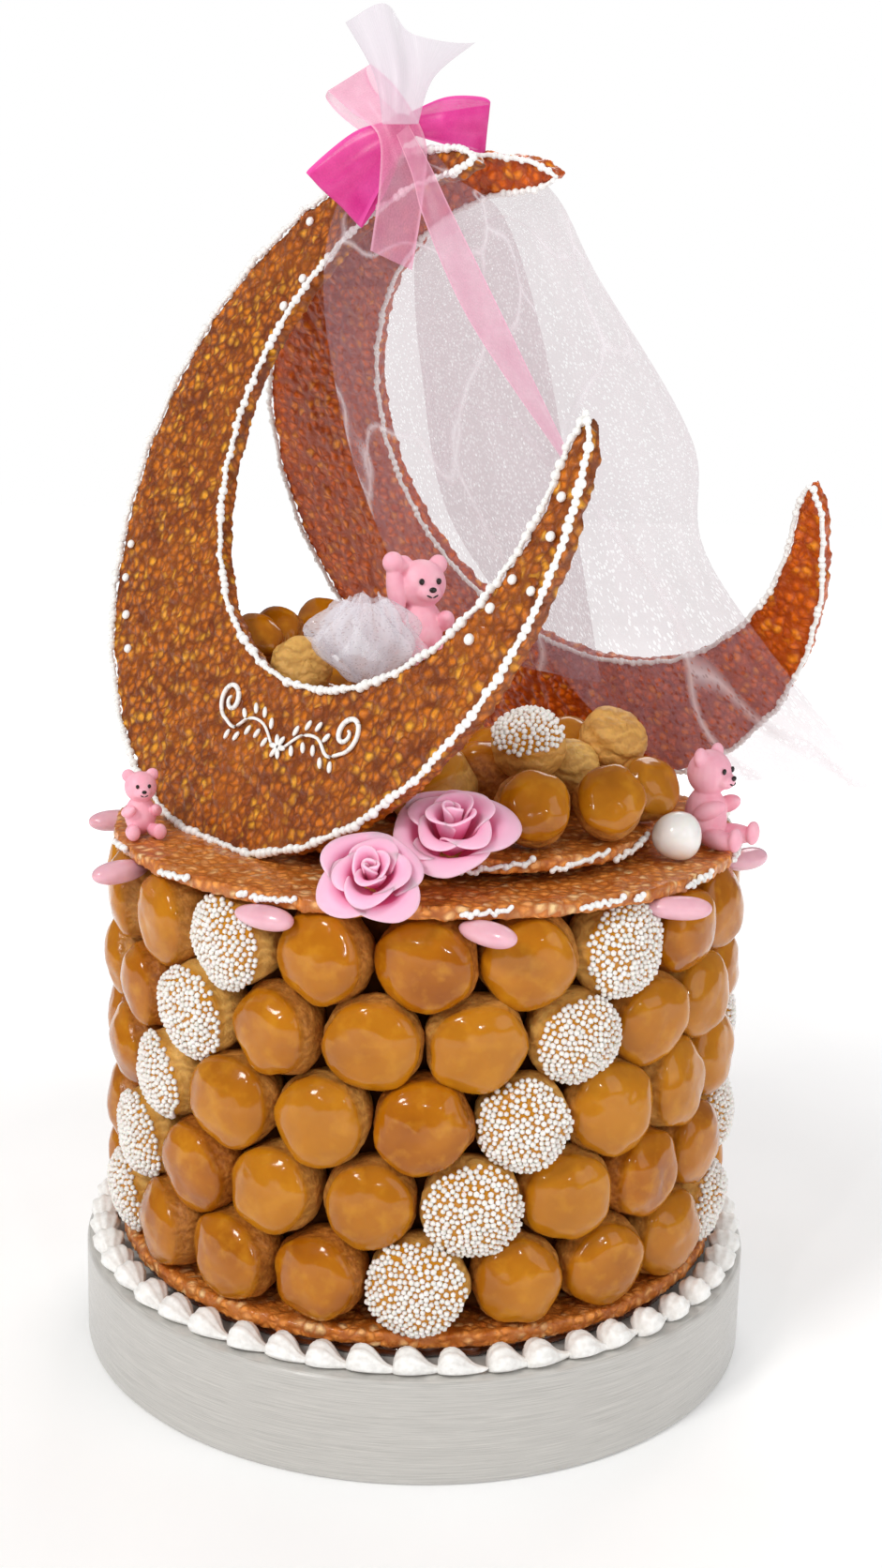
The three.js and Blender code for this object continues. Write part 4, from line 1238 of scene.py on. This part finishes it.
def rose(name, node, radius, middle, look_up, seed):
    """Petals in rings about local +Z, which is then turned to face out and up."""
    rng = random.Random(seed)
    points, faces, lips = [], [], []

    def petal(turn, foot, reach, height, half_angle, curl_out, base):
        columns, rows = 16, 14
        start = len(points)
        wave = rng.uniform(0, 6.28)
        for row in range(rows + 1):
            for column in range(columns + 1):
                u = 2 * column / columns - 1
                v = row / rows
                edge = 1 - 0.3 * abs(u) ** 3 + 0.05 * (1 - abs(u)) ** 2
                t = v * edge
                swell = foot + (reach - foot) * math.sin(min(t, 1) * math.pi / 2) ** 0.75
                roll_out = curl_out * max(t - 0.74, 0) ** 1.5 * 3.2 * (1 + 0.3 * math.sin(3.2 * u + wave))
                spread = half_angle * (0.5 + 0.5 * math.sin(min(t * 1.3, 1) * math.pi / 2))
                angle = turn + u * spread
                wavy = 0.03 * math.sin(5 * u + wave) * t
                out = swell + roll_out + wavy + 0.05 * u
                drop = curl_out * max(t - 0.84, 0) ** 1.3 * 4
                points.append((out * math.cos(angle), out * math.sin(angle), base + height * t - drop))
                lips.append(v)
        for row in range(rows):
            for column in range(columns):
                a = start + row * (columns + 1) + column
                faces.append((a, a + 1, a + columns + 2, a + columns + 1))
    rings = (
        (3, 0.02, 0.13, 0.86, 2.2, 0.05, -0.05),
        (3, 0.08, 0.32, 0.88, 1.6, 0.24, -0.12),
        (4, 0.14, 0.56, 0.86, 1.3, 0.42, -0.26),
        (4, 0.2, 0.8, 0.78, 1.3, 0.62, -0.4),
    )
    for order, (count, foot, reach, height, half_angle, curl_out, base) in enumerate(rings):
        for index in range(count):
            turn = 2 * math.pi * index / count + order * 0.7 + seed + rng.uniform(-0.1, 0.1)
            grow = rng.uniform(0.95, 1.06)
            petal(turn, foot, reach * grow, height * grow, half_angle, curl_out, base)
    out = Vector((0, -math.cos(math.radians(look_up)), math.sin(math.radians(look_up))))
    place = Matrix.Translation(middle) @ facing(out, 0.6) @ Matrix.Scale(radius, 4)
    mesh = mesh_of(name, [tuple(place @ Vector(point)) for point in points], faces)
    attribute = mesh.attributes.new("lip", "FLOAT", "POINT")
    for index, value in enumerate(lips):
        attribute.data[index].value = value
    carrier = link_mesh(name + "_petals", mesh, rose_paste)
    thick = carrier.modifiers.new("thick", "SOLIDIFY")
    thick.thickness = 1.1 * MM
    round_off = carrier.modifiers.new("round", "SUBSURF")
    round_off.levels = 1
    round_off.render_levels = 1
    settle_piece(to_piece(carrier, name, rose_paste), "rose_paste", node)


rose("sugar_rose_small", "rose_small", 18, (-20, -137, 244.5), 41, 1)
rose("sugar_rose_large", "rose_large", 21.5, (10, -110, 255), 60, 2)

# ---------------------------------------------------------------- tulle
# Fine white net with round holes about a millimetre apart. A long piece hangs from the knot
# behind the tips and out over the right side, a short one in front, and a ball sits in the heap.


def net_material(name, tint, cover, pitch, crease_density_and_highlight=0.3):
    """A see-through net: threads round holes of the given pitch in metres."""
    material, tree = new_material(name)
    place = node_in(tree, "ShaderNodeUVMap").outputs["UV"]
    cells = node_in(tree, "ShaderNodeTexVoronoi", {"Vector": place, "Scale": 1 / pitch, "Randomness": 0.8})
    thread = node_in(tree, "ShaderNodeMapRange", {
        "Value": cells.outputs["Distance"], 1: 0.22, 2: 0.42, 3: 0.0, 4: 1.0,
    }).outputs[0]
    folds = noise_in(tree, place, 22, 3)
    solid = math_in(tree, "MULTIPLY_ADD", thread, 0.27)
    solid.node.inputs[2].default_value = cover
    thickness = math_in(tree, "ADD", 0.76, math_in(tree, "MULTIPLY", folds, 0.5))
    warped = mix_colour(tree, 0.12, place, node_in(tree, "ShaderNodeTexNoise", {
        "Vector": place, "Scale": 14.0}).outputs["Color"])
    panes = node_in(
        tree, "ShaderNodeTexVoronoi", {"Vector": warped, "Scale": 13.0}, feature="DISTANCE_TO_EDGE",
    )
    crease = node_in(tree, "ShaderNodeMapRange", {
        "Value": panes.outputs["Distance"], 1: 0.0, 2: 0.045, 3: crease_density_and_highlight, 4: 0.0,
    }).outputs[0]
    dense = math_in(tree, "ADD", math_in(tree, "MULTIPLY", solid, thickness), crease, clamp=True)
    # The creases are whitened towards near white: a painted highlight along the folds, where the net is also
    # denser.
    tint = mix_colour(tree, math_in(tree, "MULTIPLY", crease, 2.2, clamp=True), tint, rgb(250, 248, 252))
    cloth = node_in(tree, "ShaderNodeBsdfPrincipled", {
        "Base Color": tint, "Roughness": 0.7, "Specular IOR Level": 0.1,
    })
    light = node_in(tree, "ShaderNodeBsdfTranslucent", {"Color": tint})
    lit = node_in(tree, "ShaderNodeMixShader", {0: 0.35, 1: cloth.outputs[0], 2: light.outputs[0]})
    clear = node_in(tree, "ShaderNodeBsdfTransparent")
    mixed = node_in(tree, "ShaderNodeMixShader", {0: dense, 1: clear.outputs[0], 2: lit.outputs[0]})
    node_in(tree, "ShaderNodeOutputMaterial", {"Surface": mixed.outputs[0]})
    return material


def cloth_mesh(name, lines, columns, rows, material, shape):
    """A cloth strung across lines that run down it, with UVs in metres and folds from shape."""
    curves = [smooth_line(line, 12) for line in lines]
    width = sum((a[6] - b[6]).length for a, b in zip(curves, curves[1:]))
    length = sum((a - b).length for a, b in zip(curves[0], curves[0][1:]))

    def point_at(u, v):
        at = []
        for line in curves:
            step = v * (len(line) - 1)
            index = min(int(step), len(line) - 2)
            at.append(line[index].lerp(line[index + 1], step - index))
        across = smooth_line(at, 24)
        step = u * (len(across) - 1)
        index = min(int(step), len(across) - 2)
        return across[index].lerp(across[index + 1], step - index) + shape(u, v)
    mesh = grid_of(name, columns, rows, point_at)
    layer = mesh.uv_layers.new(name="cloth")
    for polygon in mesh.polygons:
        for corner in polygon.loop_indices:
            vertex = mesh.loops[corner].vertex_index
            u = vertex % (columns + 1) / columns
            v = vertex // (columns + 1) / rows
            layer.data[corner].uv = (u * max(width, 60) * 2.2 * MM, v * length * MM)
    return link_mesh(name, mesh, material)


def crescent_depth(pose, x, z):
    """How far back a crescent's front face is at x and z."""
    turn, lean, centre = pose["turn"], pose["lean"], pose["centre"]
    return centre.y + (math.tan(lean) * (z - centre.z) - math.sin(turn) * (x - centre.x)) / math.cos(turn)


def before(x, z):
    return (x, crescent_depth(FRONT, x, z) - 2, z)


def behind(x, z):
    return (x, crescent_depth(REAR, x, z) + 7 / math.cos(LEAN) / math.cos(REAR["turn"]) + 2, z)


# The veils are the same white net as the ball, but coloured a darker mauve grey: painted shade.
tulle = net_material("tulle", rgb(176, 146, 156), 0.07, 0.0013)


def short_folds(u, v):
    deep = 4 * math.sin(4 * math.pi * u) * v * v
    fine = 1.2 * math.sin(13 * math.pi * u + 3 * v) * v
    return Vector((0, deep + fine, 0))


short_lines = [
    [before(-32, 516), before(-46, 500), (-51, 44, 474), (-49, 43, 440), (-36, 46, 385), (-10, 50, 322)],
    [before(-18, 519), before(-18, 505), (-14, 8, 480), (-4, 8, 440), (12, 26, 375), (32, 40, 300)],
    [before(-4, 519), before(6, 507), (26, -16, 490), (44, -10, 440), (60, 2, 370), (76, 16, 296)],
]
veil_short = cloth_mesh("tulle_veil_short", short_lines, 90, 110, tulle, short_folds)
settle_piece(veil_short, "tulle", "veil_short")


def long_folds(u, v):
    deep = 5 * math.sin(6 * math.pi * u) * v * v
    fine = 1.6 * math.sin(17 * math.pi * u + 5 * v) * v
    crumple = 2.5 * noise.noise(Vector((u * 7, v * 9, 0))) * v
    return Vector((0, deep + fine + crumple, 0))


long_lines = [
    [behind(-10, 524), behind(-10, 500), behind(-12, 470), (-8, 76, 430), (6, 62, 365), (46, 44, 309)],
    [behind(0, 523), behind(18, 508), behind(30, 485), (48, 40, 420), (66, 34, 350), (104, 4, 262)],
    [behind(8, 523), behind(44, 506), (66, 8, 470), (108, -4, 404), (120, -4, 350), (196, -10, 258)],
]
veil_long = cloth_mesh("tulle_veil_long", long_lines, 120, 150, tulle, long_folds)
settle_piece(veil_long, "tulle", "veil_long")

pouf_low, pouf_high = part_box("tulle_pouf")
pouf_middle = (pouf_low + pouf_high) / 2 / MM
pouf_half = (pouf_high - pouf_low) / 2 / MM


PUFFS = 9
PUFF_COLUMNS, PUFF_ROWS = 16, 14
puff_points, puff_faces, puff_uvs = [], [], []
rng = random.Random(91)
for index in range(PUFFS):
    turn = 2 * math.pi * index / PUFFS * 1.9 + 0.4
    open_out = 0.5 + 0.5 * (index % 3) / 2
    start = len(puff_points)
    for row in range(PUFF_ROWS + 1):
        for column in range(PUFF_COLUMNS + 1):
            u = 2 * column / PUFF_COLUMNS - 1
            v = row / PUFF_ROWS
            cup = open_out * math.sin(math.pi * (0.03 + 0.84 * v)) ** 0.75
            angle = turn + u * (0.9 - 0.25 * v)
            crumple = 1 + 0.22 * math.sin(4.3 * u + 5 * v + index) + 0.12 * math.sin(9 * u - 4 * v)
            tip = (1 - 0.16 * abs(u)) * (1.9 * v - 1)
            puff_points.append((
                pouf_middle.x + pouf_half.x * cup * crumple * math.cos(angle),
                pouf_middle.y + pouf_half.y * cup * crumple * math.sin(angle),
                pouf_middle.z + pouf_half.z * max(min(tip * (1.35 - 0.4 * open_out), 1.25), -0.95),
            ))
            puff_uvs.append((0.03 * index + 0.018 * u, 0.045 * v))
    for row in range(PUFF_ROWS):
        for column in range(PUFF_COLUMNS):
            corner = start + row * (PUFF_COLUMNS + 1) + column
            puff_faces.append((corner, corner + 1, corner + PUFF_COLUMNS + 2, corner + PUFF_COLUMNS + 1))
pouf_mesh = mesh_of("tulle_ball", puff_points, puff_faces)
layer = pouf_mesh.uv_layers.new(name="cloth")
for loop in pouf_mesh.loops:
    layer.data[loop.index].uv = puff_uvs[loop.vertex_index]
pouf_net = net_material("pouf_net", rgb(248, 246, 252), 0.14, 0.0013, 0.15)
pouf = link_mesh("tulle_ball", pouf_mesh, pouf_net)
settle_piece(pouf, "tulle", "tulle_pouf")

# ---------------------------------------------------------------- satin bow
# Hot-pink sheer satin ribbon, 20 mm wide with a bright woven edge, tied in two loops with a
# small tight knot between them.


def ribbon_material(name, tint, edge, cover, width):
    """A sheer woven ribbon with a firmer, brighter band along both edges."""
    material, tree = new_material(name)
    place = node_in(tree, "ShaderNodeUVMap").outputs["UV"]
    parts = node_in(tree, "ShaderNodeSeparateXYZ", {"Vector": place})
    across = math_in(tree, "ABSOLUTE", math_in(tree, "SUBTRACT", parts.outputs["Y"], 0.5))
    hem = node_in(tree, "ShaderNodeMapRange", {"Value": across, 1: 0.43, 2: 0.48}).outputs[0]
    weave_place = node_in(tree, "ShaderNodeMapping", {"Vector": place, "Scale": (1.0, width, 1.0)}).outputs[0]
    weave = noise_in(tree, weave_place, 1500, 2)
    cloud = noise_in(tree, weave_place, 90, 3)
    colour = mix_colour(tree, hem, ramp(tree, cloud, (0.3, tint), (0.75, edge)), edge)
    cloth = node_in(tree, "ShaderNodeBsdfPrincipled", {
        "Base Color": colour, "Roughness": 0.32, "Sheen Weight": 0.15,
        "Normal": bump(tree, weave, 0.3, 0.0002),
    })
    light = node_in(tree, "ShaderNodeBsdfTranslucent", {"Color": colour})
    lit = node_in(tree, "ShaderNodeMixShader", {0: 0.4, 1: cloth.outputs[0], 2: light.outputs[0]})
    clear = node_in(tree, "ShaderNodeBsdfTransparent")
    amount = math_in(tree, "ADD", math_in(tree, "MULTIPLY", weave, 0.35), math_in(tree, "MULTIPLY", hem, 0.3))
    solid = math_in(tree, "ADD", amount, cover, clamp=True)
    mixed = node_in(tree, "ShaderNodeMixShader", {0: solid, 1: clear.outputs[0], 2: lit.outputs[0]})
    node_in(tree, "ShaderNodeOutputMaterial", {"Surface": mixed.outputs[0]})
    return material


def band(name, left, right, material, columns=24, rows=80, wave=0.0):
    """A ribbon between its two edges, given as lines of points."""
    edges = [smooth_line(left, 12), smooth_line(right, 12)]

    def point_at(u, v):
        at = []
        for line in edges:
            step = v * (len(line) - 1)
            index = min(int(step), len(line) - 2)
            at.append(line[index].lerp(line[index + 1], step - index))
        ripple = wave * math.sin(3 * math.pi * u + 4 * v) * math.sin(math.pi * min(v * 1.4, 1))
        return at[0].lerp(at[1], u) + Vector((0, ripple, 0.3 * ripple))
    mesh = grid_of(name, columns, rows, point_at)
    length = sum((a - b).length for a, b in zip(edges[0], edges[0][1:]))
    layer = mesh.uv_layers.new(name="cloth")
    for polygon in mesh.polygons:
        for corner in polygon.loop_indices:
            vertex = mesh.loops[corner].vertex_index
            u = vertex % (columns + 1) / columns
            v = vertex // (columns + 1) / rows
            layer.data[corner].uv = (v * length * MM, u)
    return link_mesh(name, mesh, material)


def join_pieces(name, pieces, material):
    """Several pieces of one material as one."""
    shape = bmesh.new()
    for piece in pieces:
        shape.from_mesh(piece.data)
        bpy.data.objects.remove(piece)
    mesh = bpy.data.meshes.new(name)
    shape.to_mesh(mesh)
    shape.free()
    return link_mesh(name, mesh, material)


satin = ribbon_material("hot_pink_satin", rgb(222, 44, 148), rgb(242, 88, 178), 0.72, 0.02)
KNOT = Vector((-18, 30, 529))


left_loop = (
    [(-21, 27, 532), (-38, 29, 527), (-57, 33, 512), (-56, 36, 511), (-38, 37, 524), (-21, 33, 530)],
    [(-17, 24, 523), (-25, 23, 507), (-34, 28, 490), (-33, 32, 490), (-24, 33, 504), (-17, 32, 523)],
)
right_loop = (
    [(-15, 25, 535), (0, 21, 541), (15, 26, 542), (19, 30, 540), (12, 35, 539), (-15, 33, 534)],
    [(-14, 23, 526), (1, 19, 522), (15, 24, 519), (17, 28, 520), (10, 34, 523), (-14, 32, 527)],
)
knot_tool = bmesh.new()
blob(knot_tool, KNOT * MM, (6.5 * MM, 5 * MM, 6 * MM), (0, 20, 0))
knot_mesh = bpy.data.meshes.new("knot")
knot_tool.to_mesh(knot_mesh)
knot_tool.free()
knot_mesh.uv_layers.new(name="cloth")
bow = join_pieces("pink_bow", [
    band("loop_left", *left_loop, satin, 20, 80, 1.4),
    band("loop_right", *right_loop, satin, 20, 80, 1.4),
    link_mesh("knot", knot_mesh, satin),
], satin)
settle_piece(bow, "satin", "satin_bow")

# ---------------------------------------------------------------- organza
# Pale pink organza ribbon over the bow: a band down the front of the crescent, a loop to the
# left, a paler spread end standing up, and a long thin tail.
organza = ribbon_material("pale_organza", rgb(236, 150, 186), rgb(246, 186, 210), 0.36, 0.02)
pale_net = ribbon_material("white_organza", rgb(204, 188, 204), rgb(220, 206, 218), 0.16, 0.02)
shift = Vector((0, -2.3, 0))


def moved(points):
    return [tuple(Vector(point) + shift) for point in points]


front_band = band(
    "organza_band",
    moved([(-50, 38, 544), (-40, 30, 535), (-28, 23, 525), (-27, 22, 505), (-30, 17, 478)]),
    moved([(-32, 36, 555), (-20, 26, 544), (-8, 20, 524), (-8, 5, 500), (-12, 1, 470)]),
    organza, 24, 80, 1.0)
loop_back = band(
    "organza_loop",
    moved([(-50, 38, 544), (-51, 44, 541), (-44, 46, 534), (-30, 40, 524)]),
    moved([(-32, 36, 555), (-34, 42, 553), (-30, 46, 545), (-18, 42, 534)]),
    pale_net, 16, 40, 0.8)
tail = band(
    "organza_tail",
    moved([(-20, 17, 525), (-13, 4, 508), (-7, -6, 489), (13, -14, 449), (52, -14, 396)]),
    moved([(-15, 17, 529), (-5, 0, 511), (4, -10, 493), (25, -16, 454), (55, -16, 398)]),
    organza, 10, 80, 0.5)
tie = join_pieces("organza_ribbon", [front_band, loop_back, tail], organza)
settle_piece(tie, "organza", "organza_tie")
spread = cloth_mesh("organza_end", [
    moved([(-26, 17, 529), (-30, 24, 549), (-43, 34, 571)]),
    moved([(-20, 15, 529), (-20, 22, 552), (-26, 38, 578)]),
    moved([(-16, 14, 529), (-12, 24, 550), (-14, 32, 568)]),
    moved([(-11, 12, 529), (-5, 19, 548), (12, 30, 563)]),
], 40, 50, pale_net, lambda u, v: Vector((
    0, 2.5 * math.sin(5 * math.pi * u) * v, 1.5 * math.sin(7 * u) * v * v,
)))
settle_piece(spread, "organza")
